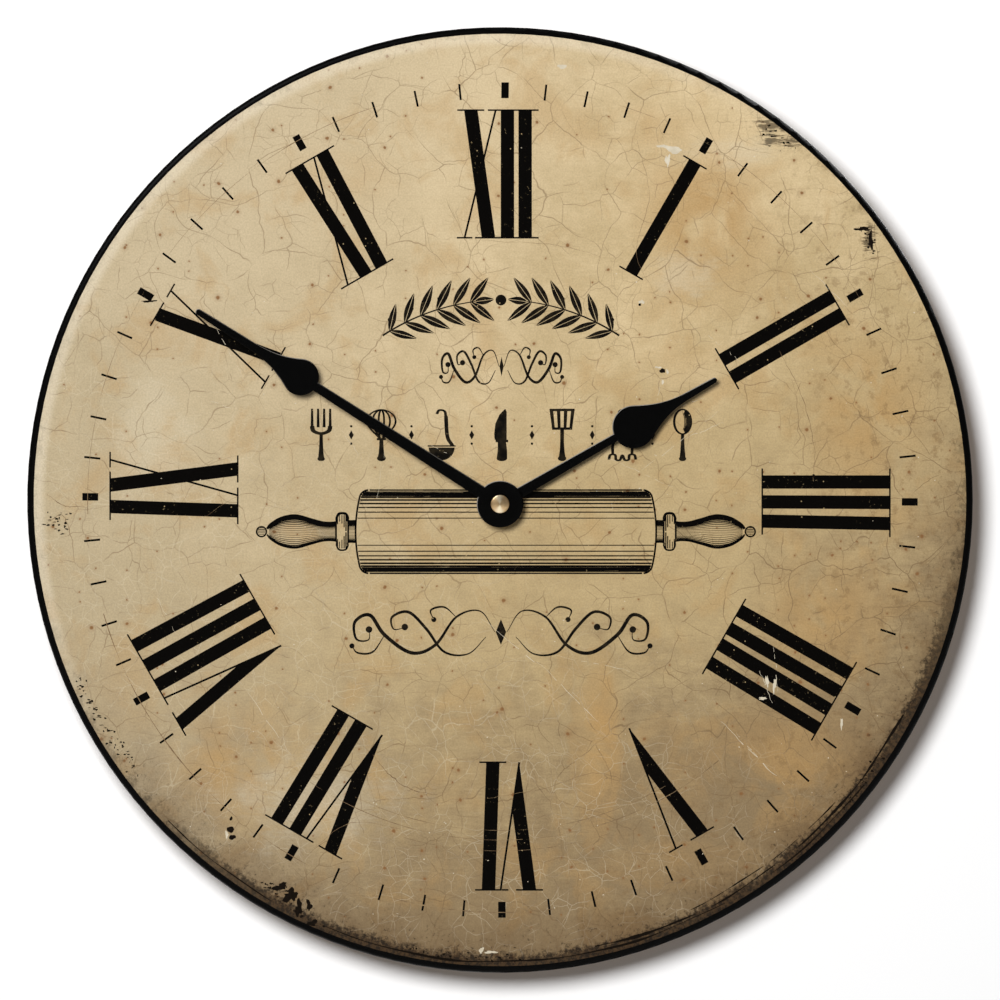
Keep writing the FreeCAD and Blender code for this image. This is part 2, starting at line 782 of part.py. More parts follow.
def make_coil_leads():
    w = board_rear - lead_radius
    leads = []
    for side in (-1, 1):
        y = core_y + side * lead_spacing / 2
        leads.append(rod_along_x(lead_radius, coil_right, board_left + lead_over_board, y, w))
    return Part.makeCompound(leads)


circuit_right = bay_half - contact_thickness
circuit_top = bay_top - contact_thickness


def circuit_post_places():
    return [(board_left + board_post_inset, circuit_top - board_post_inset / 2),
            (circuit_right - board_post_inset / 2, board_bottom + board_post_inset / 2)]


def make_circuit_board():
    return block(board_left, circuit_right, board_bottom, circuit_top,
                 board_rear, board_rear + board_thickness)


def make_chip_blob():
    x = (board_left + circuit_right) / 2
    y = board_bottom + chip_radius + chip_inset
    sphere_radius = (chip_radius ** 2 + chip_height ** 2) / (2 * chip_height)
    ball = Part.makeSphere(sphere_radius, vector(x, y, board_rear + sphere_radius - chip_height))
    return ball.common(disc(chip_radius, board_rear - chip_height, board_rear, x, y))


def make_quartz_crystal():
    right = circuit_right - crystal_inset
    y = circuit_top - crystal_inset
    w = board_rear - crystal_radius
    left = right - crystal_length
    can = rod_along_x(crystal_radius, left, right, y, w)
    foot = rod_along_x(crystal_foot_radius, left - crystal_foot_length, left, y, w)
    return can.fuse(foot)


def contact_riser(inner, outer, top):
    return block(min(inner, outer), max(inner, outer), battery_y, top,
                 contact_strip_rear, contact_strip_rear + contact_strip_width)


def contact_plate(inner, outer):
    return block(min(inner, outer), max(inner, outer), battery_y - contact_plate_half,
                 battery_y + contact_plate_half, contact_plate_rear, contact_plate_front)


def make_contact_positive():
    """Bent strip from the battery's button, up the left wall and along the top to the circuit."""
    inner = -bay_half + contact_thickness
    run = block(-bay_half, board_left + contact_strip_width, circuit_top, bay_top,
                contact_strip_rear, contact_strip_rear + contact_strip_width)
    return joined(contact_plate(inner, -bay_half), [contact_riser(inner, -bay_half, bay_top), run])


def make_contact_negative():
    """Right-hand strip with a bowed leaf that presses on the battery's flat end."""
    inner = bay_half - contact_thickness
    bow = inner - battery_right - contact_gap
    outer_arc = Part.Arc(vector(inner, battery_y - leaf_half, 0), vector(inner - bow, battery_y, 0),
                         vector(inner, battery_y + leaf_half, 0)).toShape()
    inner_half = leaf_half - leaf_thickness
    inner_arc = Part.Arc(vector(inner, battery_y - inner_half, 0),
                         vector(inner - bow + leaf_thickness, battery_y, 0),
                         vector(inner, battery_y + inner_half, 0)).toShape()
    ends = []
    for side in (-1, 1):
        ends.append(Part.makeLine(vector(inner, battery_y + side * leaf_half, 0),
                                  vector(inner, battery_y + side * inner_half, 0)))
    wire = Part.Wire([outer_arc, ends[1], inner_arc, ends[0]])
    leaf = prism(wire, leaf_rear, leaf_front)
    top = board_bottom + contact_strip_width
    backing = block(inner, bay_half, battery_y - leaf_half, battery_y + leaf_half,
                    contact_plate_rear, contact_plate_front)
    return joined(backing, [leaf, contact_riser(inner, bay_half, top)])


battery_left = -bay_half + contact_thickness + contact_gap
battery_right = battery_left + battery_length


def make_battery_cell():
    left = battery_left + battery_nub_height
    body = rod_along_x(battery_radius, left, battery_right, battery_y, battery_w)
    ends = [edge for edge in body.Edges if edge.BoundBox.XLength < same_place]
    return body.makeFillet(battery_edge, ends)


def make_battery_button():
    left = battery_left + battery_nub_height
    return rod_along_x(battery_nub_radius, battery_left, left, battery_y, battery_w)


# ---------------------------------------------------------------- housing

def plate_post_places():
    return [(side * plate_post_x, y) for side in (-1, 1) for y in (plate_post_low, plate_post_high)]


def ledges():
    """Blocks on the walls that stop the cover at its depth."""
    front = cover_thickness + ledge_depth
    places = []
    for x in ledge_places:
        places.append(block(x, x + ledge_length, bay_top - ledge_reach, bay_top, cover_thickness, front))
    for x in (-bay_half, bay_half - ledge_reach):
        places.append(block(x, x + ledge_reach, case_wall, case_wall + ledge_length,
                            cover_thickness, front))
    return places


def clip_windows():
    """Openings in the side walls for the cover's two hooks."""
    rear = clip_depth - clip_hook_height - clip_play
    half = clip_width / 2 + 1.5 * clip_play
    windows = []
    for left in (-case_half, bay_half):
        windows.append(block(left, left + case_wall, clip_centre - half, clip_centre + half,
                             rear, clip_depth + clip_play))
    return windows


def make_movement_case():
    body = block(-case_half, case_half, case_bottom, case_top, 0, case_front)
    body = body.makeFillet(case_corner, edges_along_w(body))
    body = body.makeFillet(case_edge, edges_at(body, case_front))
    train_bay = block(-bay_half, bay_half, train_floor, bay_top, 0, bay_front)
    battery_bay = block(-bay_half, bay_half, battery_bay_bottom, battery_bay_top, 0, bay_front)
    body = body.cut(train_bay).cut(battery_bay)
    strip_front = contact_strip_rear + contact_strip_width
    for left in (-bay_half, bay_half - contact_thickness - contact_gap):
        body = body.cut(block(left, left + contact_thickness + contact_gap, battery_bay_top,
                              train_floor, contact_strip_rear - contact_gap, strip_front + contact_gap))
    body = body.cut(disc(neck_hole_radius, bay_front, case_front))
    for window in clip_windows():
        body = body.cut(window)
    return body


def make_case_posts():
    """Posts, bearing bosses and cover ledges that stand on the inside of the case."""
    plate_front = plate_rear + plate_thickness
    posts = ledges()
    for x, y in plate_post_places():
        posts.append(disc(plate_post_radius, plate_front, bay_front, x, y))
    for x, y in stator_post_places():
        posts.append(disc(stator_post_radius, stator_layer[1], bay_front, x, y))
    for x, y in circuit_post_places():
        posts.append(disc(board_post_radius, board_rear + board_thickness, bay_front, x, y))
    bearings = [(rotor_post_radius, rotor_post_rear, rotor_place),
                (third_post_radius, third_post_rear, third_place),
                (boss_radius, minute_boss_rear, minute_place)]
    for radius, rear, place in bearings:
        post = disc(radius, rear, bay_front, *place)
        posts.append(post.cut(pivot_hole(rear, 1, place)))
    return Part.makeCompound(posts)


def make_movement_cover():
    """Snap-in back plate with the knob's well, the rear pivot bosses and two clips."""
    half = bay_half - cover_gap
    plate = block(-half, half, train_floor + cover_gap, bay_top - cover_gap, 0, cover_thickness)
    well_radius = knob_radius + knob_side_gap
    additions = [disc(well_radius + well_wall, 0, well_front, *minute_place)]
    bosses = [(seconds_boss, centre), (intermediate_boss, intermediate_place),
              (rotor_boss, rotor_place), (third_boss, third_place)]
    for top, place in bosses:
        additions.append(disc(boss_radius, 0, top, *place))
    for side in (-1, 1):
        outer = side * half
        inner = side * (half - clip_thickness)
        low = clip_centre - clip_width / 2
        additions.append(block(min(inner, outer), max(inner, outer), low, low + clip_width,
                               cover_thickness, clip_depth))
        hook_tip = side * (half + clip_hook)
        additions.append(block(min(outer, hook_tip), max(outer, hook_tip), low, low + clip_width,
                               clip_depth - clip_hook_height, clip_depth))
    cover = joined(plate, additions)
    cover = cover.cut(disc(well_radius, 0, knob_front + knob_floor_gap, *minute_place))
    cover = cover.cut(disc(minute_arbor_radius + running_gap, 0, well_front, *minute_place))
    for top, place in bosses:
        cover = cover.cut(pivot_hole(top, -1, place))
    return cover


def make_train_plate():
    front = plate_rear + plate_thickness
    plate = block(plate_left, plate_right, plate_bottom, plate_top, plate_rear, front)
    plate = plate.makeFillet(plate_corner, edges_along_w(plate))
    holes = [disc(minute_pipe_radius + running_gap, plate_rear, front),
             disc(pivot_radius + running_gap, plate_rear, front, *intermediate_place),
             disc(third_pinion_hole, plate_rear, front, *third_place),
             disc(minute_arbor_radius + running_gap, plate_rear, front, *minute_place)]
    for hole in holes:
        plate = plate.cut(hole)
    return plate


# ---------------------------------------------------------------- build and export

pieces = {
    "dial_board": make_dial_board,
    "dial_sheet": make_dial_sheet,
    "hanger": make_hanger,
    "rubber_washer": make_rubber_washer,
    "threaded_bushing": make_bushing,
    "bushing_washer": make_bushing_washer,
    "hex_nut": make_hex_nut,
    "hour_hand": make_hour_hand,
    "hour_hand_collet": make_hour_hand_collet,
    "minute_hand": make_minute_hand,
    "cap_nut": make_cap_nut,
    "movement_case": make_movement_case,
    "case_posts": make_case_posts,
    "movement_cover": make_movement_cover,
    "train_plate": make_train_plate,
    "setting_knob": make_setting_knob,
    "minute_wheel": make_minute_wheel,
    "minute_pipe": make_minute_pipe,
    "cannon_pinion": make_cannon_pinion,
    "clutch_ring": make_clutch_ring,
    "centre_wheel": make_centre_wheel,
    "hour_wheel": make_hour_wheel,
    "third_wheel": make_third_wheel,
    "seconds_wheel": make_seconds_wheel,
    "intermediate_wheel": make_intermediate_wheel,
    "rotor_pinion": make_rotor_pinion,
    "rotor_magnet": make_rotor_magnet,
    "stator": make_stator,
    "coil_core": make_coil_core,
    "coil_bobbin": make_coil_bobbin,
    "coil_winding": make_coil_winding,
    "coil_leads": make_coil_leads,
    "circuit_board": make_circuit_board,
    "chip_blob": make_chip_blob,
    "quartz_crystal": make_quartz_crystal,
    "contact_positive": make_contact_positive,
    "contact_negative": make_contact_negative,
    "battery_cell": make_battery_cell,
    "battery_button": make_battery_button,
}

os.makedirs("parts", exist_ok=True)
for name, make in pieces.items():
    shape = make()
    shape.rotate(vector(0, 0, 0), vector(1, 0, 0), 90)
    shape.exportStep(os.path.join("parts", name + ".step"))
    print(name, "valid" if shape.isValid() else "INVALID", len(shape.Solids), "solid",
          round(shape.Volume, 2), "mm3")
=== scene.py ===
# Wall clock with an aged printed dial, on a quartz movement
import math
import random

import bpy
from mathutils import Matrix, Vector
from mathutils.geometry import delaunay_2d_cdt


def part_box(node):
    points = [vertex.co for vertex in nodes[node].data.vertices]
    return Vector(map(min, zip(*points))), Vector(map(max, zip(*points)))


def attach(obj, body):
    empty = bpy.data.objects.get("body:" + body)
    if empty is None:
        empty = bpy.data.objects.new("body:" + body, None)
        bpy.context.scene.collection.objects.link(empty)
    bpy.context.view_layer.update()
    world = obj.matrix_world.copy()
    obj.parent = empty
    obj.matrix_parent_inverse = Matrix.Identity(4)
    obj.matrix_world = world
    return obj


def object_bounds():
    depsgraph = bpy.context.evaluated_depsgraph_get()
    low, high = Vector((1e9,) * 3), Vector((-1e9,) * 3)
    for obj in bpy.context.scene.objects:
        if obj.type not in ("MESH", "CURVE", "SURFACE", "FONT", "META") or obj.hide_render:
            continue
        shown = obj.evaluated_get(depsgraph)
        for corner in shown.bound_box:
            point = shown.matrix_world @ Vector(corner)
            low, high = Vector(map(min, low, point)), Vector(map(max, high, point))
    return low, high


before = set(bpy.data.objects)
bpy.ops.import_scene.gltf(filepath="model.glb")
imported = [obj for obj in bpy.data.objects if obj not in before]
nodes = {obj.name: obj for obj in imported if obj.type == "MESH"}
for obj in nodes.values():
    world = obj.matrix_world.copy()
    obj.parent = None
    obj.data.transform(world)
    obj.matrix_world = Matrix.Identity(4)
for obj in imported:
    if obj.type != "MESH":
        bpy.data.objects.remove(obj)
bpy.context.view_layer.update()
mm = 0.001
boardLow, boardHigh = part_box("dial_board")
dialRise = (boardLow.z + boardHigh.z) / 2  # the dial's middle stands this far above the hands' axis


# shader maths: a socket that adds, multiplies and compares like a number
class Signal:
    def __init__(self, finish, socket):
        self.finish = finish
        self.socket = socket

    def maths(self, operation, *values):
        return self.finish.node("ShaderNodeMath", {"operation": operation}, dict(enumerate(values)))

    def output(self, name):  # another output of the same node
        return Signal(self.finish, self.socket.node.outputs[name])

    def __add__(self, other):
        return self.maths("ADD", self, other)

    def __sub__(self, other):
        return self.maths("SUBTRACT", self, other)

    def __rsub__(self, other):
        return self.maths("SUBTRACT", other, self)

    def __mul__(self, other):
        return self.maths("MULTIPLY", self, other)

    def __truediv__(self, other):
        return self.maths("DIVIDE", self, other)

    def __gt__(self, other):
        return self.maths("GREATER_THAN", self, other)

    def over(self, other):  # the larger of the two
        return self.maths("MAXIMUM", self, other)

    def size(self):
        return self.maths("ABSOLUTE", self)

    def sine(self):
        return self.maths("SINE", self)

    __radd__ = __add__
    __rmul__ = __mul__


surfaceSockets = {"colour": "Base Color", "rough": "Roughness", "metal": "Metallic", "normal": "Normal",
                  "specular": "Specular IOR Level"}


class Finish:
    def __init__(self, name, **values):
        self.material = bpy.data.materials.new(name)
        self.material.use_nodes = True
        self.tree = self.material.node_tree
        self.surface = self.tree.nodes["Principled BSDF"]
        self.set(**values)

    def set(self, **values):
        for name, value in values.items():
            self.feed(self.surface.inputs[surfaceSockets[name]], value)

    def feed(self, socket, value):
        if isinstance(value, Signal):
            self.tree.links.new(value.socket, socket)
        elif socket.type == "RGBA" and len(value) == 3:
            socket.default_value = (*value, 1.0)
        else:
            socket.default_value = value

    def node(self, kind, settings=None, sockets=None, output=0):
        made = self.tree.nodes.new(kind)
        for key, value in (settings or {}).items():
            setattr(made, key, value)
        for key, value in (sockets or {}).items():
            self.feed(made.inputs[key], value)
        return Signal(self, made.outputs[output])

    def point(self, stretch=(1, 1, 1)):  # where on the clock, in millimetres
        here = self.node("ShaderNodeTexCoord", output="Object")
        scale = [1000.0 * each for each in stretch]
        return self.node("ShaderNodeVectorMath", {"operation": "MULTIPLY"}, {0: here, 1: scale})

    def flat(self, rise=dialRise):  # the same seen from the front, as right and up from the dial's middle
        split = self.node("ShaderNodeSeparateXYZ", None, {0: self.point()})
        return self.node("ShaderNodeCombineXYZ", None, {0: split, 1: split.output("Z") - rise / mm})

    def moved(self, where, by):
        return self.node("ShaderNodeVectorMath", {"operation": "ADD"}, {0: where, 1: by})

    def length(self, where):
        return self.node("ShaderNodeVectorMath", {"operation": "LENGTH"}, {0: where}, "Value")

    def noise(self, where, size, detail=3.0, rough=0.5, warp=0.0, space="3D"):
        sockets = {"Vector": where, "Scale": 1 / size, "Detail": detail, "Roughness": rough,
                   "Distortion": warp}
        return self.node("ShaderNodeTexNoise", {"noise_dimensions": space}, sockets)

    def cells(self, where, size, feature="F1", output="Distance"):
        settings = {"feature": feature, "voronoi_dimensions": "2D"}
        return self.node("ShaderNodeTexVoronoi", settings, {"Vector": where, "Scale": 1 / size}, output)

    def chosen(self, cells, share):  # 1 in a share of the cells
        number = self.node("ShaderNodeSeparateColor", None, {0: cells.output("Color")})
        return number > 1 - share

    def fade(self, value, low, high):  # 0 at low, 1 at high, smooth between
        sockets = {"Value": value, "From Min": low, "From Max": high}
        return self.node("ShaderNodeMapRange", {"interpolation_type": "SMOOTHSTEP"}, sockets)

    def mix(self, factor, first, second, mode="MIX"):
        settings = {"data_type": "RGBA", "blend_type": mode}
        return self.node("ShaderNodeMix", settings, {0: factor, 6: first, 7: second}, 2)

    def bump(self, height, depth):  # depth in millimetres for a height of one
        return self.node("ShaderNodeBump", None, {"Height": height, "Strength": 1.0, "Distance": depth * mm})

    def wander(self, where, size, reach):  # the same point, pushed about by noise
        noise = self.noise(where, size, 2.0, space="2D").output("Color")
        centred = self.node("ShaderNodeVectorMath", {"operation": "SUBTRACT"}, {0: noise, 1: (0.5, 0.5, 0.5)})
        push = self.node("ShaderNodeVectorMath", {"operation": "SCALE"}, {0: centred, "Scale": reach})
        return self.node("ShaderNodeVectorMath", {"operation": "ADD"}, {0: where, 1: push})

    def distance(self, where, centre, size):  # 1 on an ellipse round centre
        away = self.moved(where, (-centre[0], -centre[1], 0))
        scale = (1 / size[0], 1 / size[1], 0)
        return self.length(self.node("ShaderNodeVectorMath", {"operation": "MULTIPLY"}, {0: away, 1: scale}))


def paint(finish, *names):
    for name in names:
        piece = nodes[name]
        piece.data.materials.clear()
        piece.data.materials.append(finish.material)


# aged paper of the dial
paper = {
    "radius": 152.4,
    "dark": (0.235, 0.166, 0.088), "middle": (0.437, 0.326, 0.168), "light": (0.635, 0.495, 0.292),
    "grey": (0.40, 0.34, 0.238), "ochre": (0.40, 0.245, 0.095), "crack": (0.185, 0.120, 0.060),
    "rust": (0.215, 0.105, 0.040), "paleCrack": (0.62, 0.54, 0.39),
    # the pale edge colour is a painted highlight along the upper-left rim
    "rimHighlight": (0.78, 0.70, 0.55), "mould": (0.19, 0.115, 0.050),
    "dirt": (0.105, 0.064, 0.032), "crust": (0.008, 0.006, 0.005), "brownCrust": (0.042, 0.024, 0.012),
    "fall": {"level": 0.56, "right": -0.15, "up": 0.50, "rim": -0.14, "clouds": 0.46, "mottle": 0.42,
             "fibre": 0.20},
    "stains": [  # centre, half sizes, strength
        ((66, 92), (28, 32), 1.0), ((40, 120), (38, 10), 0.6), ((58, 60), (18, 28), 0.6),
        ((118, 30), (26, 30), 0.9), ((33, -78), (8, 32), 0.95), ((-52, 104), (26, 12), 0.4),
        ((-118, -60), (16, 20), 0.4), ((92, -88), (38, 26), 0.85), ((104, -34), (26, 22), 0.8),
        ((-38, -36), (10, 14), 0.5), ((-86, -84), (26, 22), 0.8), ((34, -60), (4, 12), 0.9),
    ],
    "spots": [  # rust spots: spacing, share of places, radius in spacings, shift
        (12.0, 0.13, 0.036, 0), (5.0, 0.09, 0.050, 40), (19.0, 0.26, 0.028, 90),
    ],
    "washes": [((31, -80), (9, 31), 0.42), ((104, -50), (17, 12), 0.3), ((58, -118), (27, 9), 0.26),
               ((113, 14), (13, 22), 0.26), ((74, 74), (22, 15), 0.2), ((-84, -92), (12, 20), 0.2)],
    "cracks": {"coarse": (19, 0.0105, 0.003), "middle": (10, 0.016, 0.005), "fine": (5.2, 0.026, 0.008)},
    "crackStrength": {"coarse": 0.58, "middle": 0.5, "fine": 0.34, "lip": 0.30, "low": 0.5},
    "rim": {  # shares of the radius where each starts and is full
        "edge": (0.955, 0.975), "haze": (0.84, 1.03), "crust": (0.972, 1.0), "specks": (0.86, 0.98),
        "solid": (0.951, 0.971),
    },
    "rimStrength": {"edge": 0.35, "haze": 0.82, "solid": 0.97, "smears": 0.8, "all": 0.92},
    "bleached": [((58, 73), (15, 10)), ((76, 112), (18, 7)), ((-112, 20), (18, 30)), ((-60, -96), (34, 20))],
    "smears": [((89, 121), (8.5, 2.6)), ((93, 115.5), (9.5, 2.4)), ((119, 84), (2.6, 6.5))],
}


def crackNet(finish, where, size):
    spacing, start, full = size  # millimetres, then how near a cell's edge
    return finish.fade(finish.cells(where, spacing, "DISTANCE_TO_EDGE"), start, full)


def dialSheetFinish(look):
    finish = Finish("agedDialPaper", rough=0.5)
    flat = finish.flat()
    across = finish.node("ShaderNodeSeparateXYZ", None, {0: flat}) / look["radius"]
    up = finish.node("ShaderNodeSeparateXYZ", None, {0: flat}, "Y") / look["radius"]
    radius = finish.length(flat) / look["radius"]

    # light falls off from the top left to the bottom right, in soft clouds
    fall = look["fall"]
    clouds = finish.noise(flat, 60, 3.0, 0.55, space="2D") - 0.5
    mottle = finish.noise(flat, 9, 5.0, 0.6, space="2D") - 0.5
    tone = fall["level"] + fall["right"] * across + fall["up"] * up + fall["rim"] * radius * radius
    stretch = finish.node("ShaderNodeVectorMath", {"operation": "MULTIPLY"}, {0: flat, 1: (0.16, 1, 0)})
    fibre = finish.noise(stretch, 0.9, 4.0, 0.65, space="2D") - 0.5
    tone = tone + fall["clouds"] * clouds + fall["mottle"] * mottle + fall["fibre"] * fibre
    colour = finish.mix(finish.fade(tone, -0.02, 0.52), look["dark"], look["middle"])
    colour = finish.mix(finish.fade(tone, 0.42, 1.02), colour, look["light"])
    colour = finish.mix(finish.fade(across - 0.35 * up, 0.25, -0.95) * 0.55, colour, look["grey"])

    # ochre water stains in patches
    patch = finish.noise(flat, 22, 4.0, 0.62, 0.4, space="2D")
    reached = finish.fade(patch, 0.30, 0.62)
    stain = 0.36 * finish.fade(patch, 0.48, 0.70)
    for centre, size, strength in look["stains"]:
        near = finish.fade(finish.distance(flat, centre, size) + 1.1 * (patch - 0.5), 1.15, 0.25)
        stain = stain.over(near * (strength * 0.8) * reached)
    colour = finish.mix(stain * (1 + 0.8 * mottle), colour, look["ochre"])
    for centre, size, strength in look["washes"]:
        away = finish.distance(flat, centre, size) + 0.9 * (patch - 0.5) + 0.5 * mottle
        near = finish.fade(away, 1.0, 0.82)
        colour = finish.mix(near * strength * (0.6 + 0.8 * fibre), colour, look["ochre"])
    for centre, size in look["bleached"]:
        near = finish.fade(finish.distance(flat, centre, size) + 1.6 * mottle + 0.8 * fibre, 1.0, 0.1)
        colour = finish.mix(near * 0.36, colour, look["paleCrack"])

    # mould freckles, low on the right and towards the rim
    worse = finish.fade(0.6 * across - 0.8 * up, 0.0, 0.9)
    freckle = finish.fade(finish.noise(flat, 4.2, 5.0, 0.68, space="2D"), 0.55, 0.66)
    freckled = finish.fade(across - 0.35 * up, 0.1, 0.75) * finish.fade(radius, 0.45, 0.85)
    colour = finish.mix(freckle * freckled * 0.42, colour, look["mould"])

    # varnish cracks of three sizes in patches, with pale lips low on the left
    drift = finish.wander(finish.wander(flat, 34, 16), 8, 3.2)
    here = finish.noise(flat, 16, 2.0, space="2D")
    there = finish.noise(finish.moved(flat, (63, 18, 0)), 12, 2.0, space="2D")
    coarse = crackNet(finish, drift, look["cracks"]["coarse"])
    middle = crackNet(finish, finish.moved(drift, (31, 12, 0)), look["cracks"]["middle"])
    fine = crackNet(finish, finish.moved(drift, (5, 44, 0)), look["cracks"]["fine"])
    strength = look["crackStrength"]
    crack = strength["coarse"] * coarse * finish.fade(here, 0.32, 0.56)
    crack = crack.over(strength["middle"] * middle * finish.fade(there, 0.42, 0.60))
    crack = crack.over(strength["fine"] * fine * finish.fade(here, 0.54, 0.66))
    pale = finish.fade(0.75 * across + up, 0.15, -0.55) * finish.fade(there, 0.62, 0.42)
    colour = finish.mix(crack * (1 - 0.5 * pale) * (1 + strength["low"] * worse), colour, look["crack"])
    lip = fine.over(middle) * pale * strength["lip"]
    colour = finish.mix(lip, colour, look["paleCrack"])

    # rust spots, each with a paler ring
    edged = finish.wander(flat, 1.4, 0.5)
    for size, share, dot, shift in look["spots"]:
        spot = finish.cells(finish.moved(edged, (shift, shift, 0)), size)
        mark = finish.fade(spot, dot * 1.5, dot * 0.6) * 0.75 + finish.fade(spot, dot * 4, dot) * 0.22
        colour = finish.mix(mark * finish.chosen(spot, share), colour, look["rust"])

    # dirt closes in from the rim, worst at the bottom and right, and ends in a broken crust; a painted
    # highlight lines the rim on the upper left
    ragged = finish.noise(flat, 6.5, 6.0, 0.72, space="2D")
    flecked = finish.noise(flat, 1.6, 4.0, 0.75, space="2D")
    low = finish.fade(0.27 * across - 0.86 * up, -0.10, 0.76)
    rim, strength = look["rim"], look["rimStrength"]
    # painted highlight: a paler band just inside the rim on the upper left, the lamp's side
    rimHighlightMask = finish.fade(radius, *rim["edge"]) * (1 - low) * finish.fade(up - across, 0.1, 1.0)
    colour = finish.mix(rimHighlightMask * strength["edge"], colour, look["rimHighlight"])
    haze = finish.fade(radius + 0.24 * (patch - 0.5) + 0.10 * (flecked - 0.5), *rim["haze"]) * low
    colour = finish.mix(haze * strength["haze"], colour, look["dirt"])
    edge = radius + 0.10 * (ragged - 0.5) + 0.05 * (flecked - 0.5) + 0.016 * low
    crust = finish.fade(edge, *rim["crust"]) * (0.18 + 0.82 * low)
    specks = finish.fade(flecked + 0.25 * (ragged - 0.5), 0.62, 0.68)
    crust = crust.over(specks * finish.fade(radius, *rim["specks"]) * (0.12 + 0.7 * low))
    solid = finish.fade(radius + 0.045 * (flecked - 0.5) + 0.03 * (ragged - 0.5), *rim["solid"])
    crust = crust.over(solid * finish.fade(low, 0.40, 0.95) * strength["solid"])
    for centre, size in look["smears"]:
        near = finish.fade(finish.distance(flat, centre, size) + 2.4 * mottle + 3.2 * fibre, 0.9, 0.2)
        crust = crust.over(near * strength["smears"])
    crustTint = finish.mix(finish.fade(flecked, 0.42, 0.60), look["brownCrust"], look["crust"])
    colour = finish.mix(crust * strength["all"], colour, crustTint)

    grain = finish.noise(flat, 0.55, 1.0, space="2D")
    colour = finish.mix(0.16, colour, finish.mix(grain, (0.0, 0.0, 0.0), (1.0, 1.0, 1.0)), "OVERLAY")
    finish.set(colour=colour, rough=0.42 + 0.2 * crack + 0.15 * grain + 0.2 * crust,
               normal=finish.bump(0.12 * grain + 0.5 * fibre - crack - 0.6 * crust, 0.05), specular=0.15)
    return finish


def inkFinish(name, tint, wear):
    # printing ink rubbed through to the paper in specks
    finish = Finish(name, rough=0.5)
    flat = finish.flat()
    grain = finish.noise(flat, 1.1, 5.0, 0.7, space="2D")
    rubbed = finish.fade(grain, 0.66 - wear * 0.10, 0.74 - wear * 0.10)
    rubbed = rubbed * finish.fade(finish.noise(flat, 13.0, 2.0, space="2D"), 0.46, 0.64)
    pins = finish.cells(flat, 3.6)
    rubbed = rubbed.over(finish.fade(pins, 0.07, 0.03) * finish.chosen(pins, 0.08)) * 0.85
    faded = rubbed.over(wear * 0.45 * finish.fade(finish.noise(flat, 3.0, 3.0, space="2D"), 0.35, 0.75))
    finish.set(colour=finish.mix(faded, tint, paper["middle"]), rough=0.5 + 0.2 * faded,
               normal=finish.bump(grain, 0.012), specular=0.03)
    return finish


print("finishes of the dial")
ink = inkFinish("blackInk", (0.0018, 0.0015, 0.0012), 0.0)
thinInk = inkFinish("thinBlackInk", (0.0040, 0.0034, 0.0028), 0.07)
brownInk = inkFinish("fadedBrownInk", (0.16, 0.10, 0.055), 0.9)
paint(dialSheetFinish(paper), "dial_sheet")


# flat print: shapes in dial millimetres (right, up), merged and raised a hair off the sheet
printing = {"thickness": 0.03, "sink": 0.004, "tolerance": 0.0001, "curveSteps": 9,
            "smallest": 0.00002}
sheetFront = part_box("dial_sheet")[0].y


def bar(start, end, startWidth, endWidth=None):
    a, b = Vector(start), Vector(end)
    side = (b - a).normalized().orthogonal()
    wide = side * startWidth / 2
    far = side * (startWidth if endWidth is None else endWidth) / 2
    return [a - wide, a + wide, b + far, b - far]


def arc(centre, halfWide, halfHigh, start, end, steps=20):  # start and end in degrees, leftward turning
    angles = [math.radians(start + (end - start) * step / steps) for step in range(steps + 1)]
    return [Vector((centre[0] + halfWide * math.cos(a), centre[1] + halfHigh * math.sin(a))) for a in angles]


def ellipse(centre, halfWide, halfHigh=None, steps=24):
    return arc(centre, halfWide, halfWide if halfHigh is None else halfHigh, 0, 360, steps)[:-1]


def curve(points, closed=False):
    # smooth line through a few points
    points = [Vector(each) for each in points]
    count = len(points)
    spans = count if closed else count - 1
    line = []
    for span in range(spans):
        if closed:
            p0, p1, p2, p3 = (points[(span + k) % count] for k in (-1, 0, 1, 2))
        else:
            p1, p2 = points[span], points[span + 1]
            p0 = points[span - 1] if span else p1 * 2 - p2
            p3 = points[span + 2] if span + 2 < count else p2 * 2 - p1
        for step in range(printing["curveSteps"]):
            t = step / printing["curveSteps"]
            line.append(0.5 * (2 * p1 + (p2 - p0) * t + (2 * p0 - 5 * p1 + 4 * p2 - p3) * t ** 2
                               + (3 * p1 - p0 - 3 * p2 + p3) * t ** 3))
    return line if closed else line + [points[-1]]


def ribbon(line, width, closed=False):
    # quads along a line; width is a number or a function of the share of the way along
    count = len(line)
    quads, edges = [], []
    for index, point in enumerate(line):
        if closed:
            before, after = line[index - 1], line[(index + 1) % count]
        else:
            before, after = line[max(index - 1, 0)], line[min(index + 1, count - 1)]
        side = (after - before).normalized().orthogonal()
        half = (width(index / (count - 1)) if callable(width) else width) / 2
        edges.append((point - side * half, point + side * half))
    for index in range(count if closed else count - 1):
        first, second = edges[index], edges[(index + 1) % count]
        quads.append([first[0], first[1], second[1], second[0]])
    return quads


def pen(points, thick, thin=0.2, closed=False):
    # a stroke that swells in the middle and thins at its ends
    swell = lambda share: thin + (thick - thin) * math.sin(math.pi * min(max(share, 0), 1)) ** 1.3
    return ribbon(curve(points, closed), thick if closed else swell, closed)


def mirrored(shapes, middle=0.0):
    return [[Vector((2 * middle - point.x, point.y)) for point in reversed(shape)] for shape in shapes]


def turned(shapes, angle, shift=(0, 0)):
    cos, sin = math.cos(angle), math.sin(angle)
    move = Vector(shift)
    return [[Vector((p.x * cos - p.y * sin, p.x * sin + p.y * cos)) + move for p in shape]
            for shape in shapes]


def signedArea(shape):
    return 0.5 * sum(a.x * b.y - b.x * a.y for a, b in zip(shape, shape[1:] + shape[:1]))


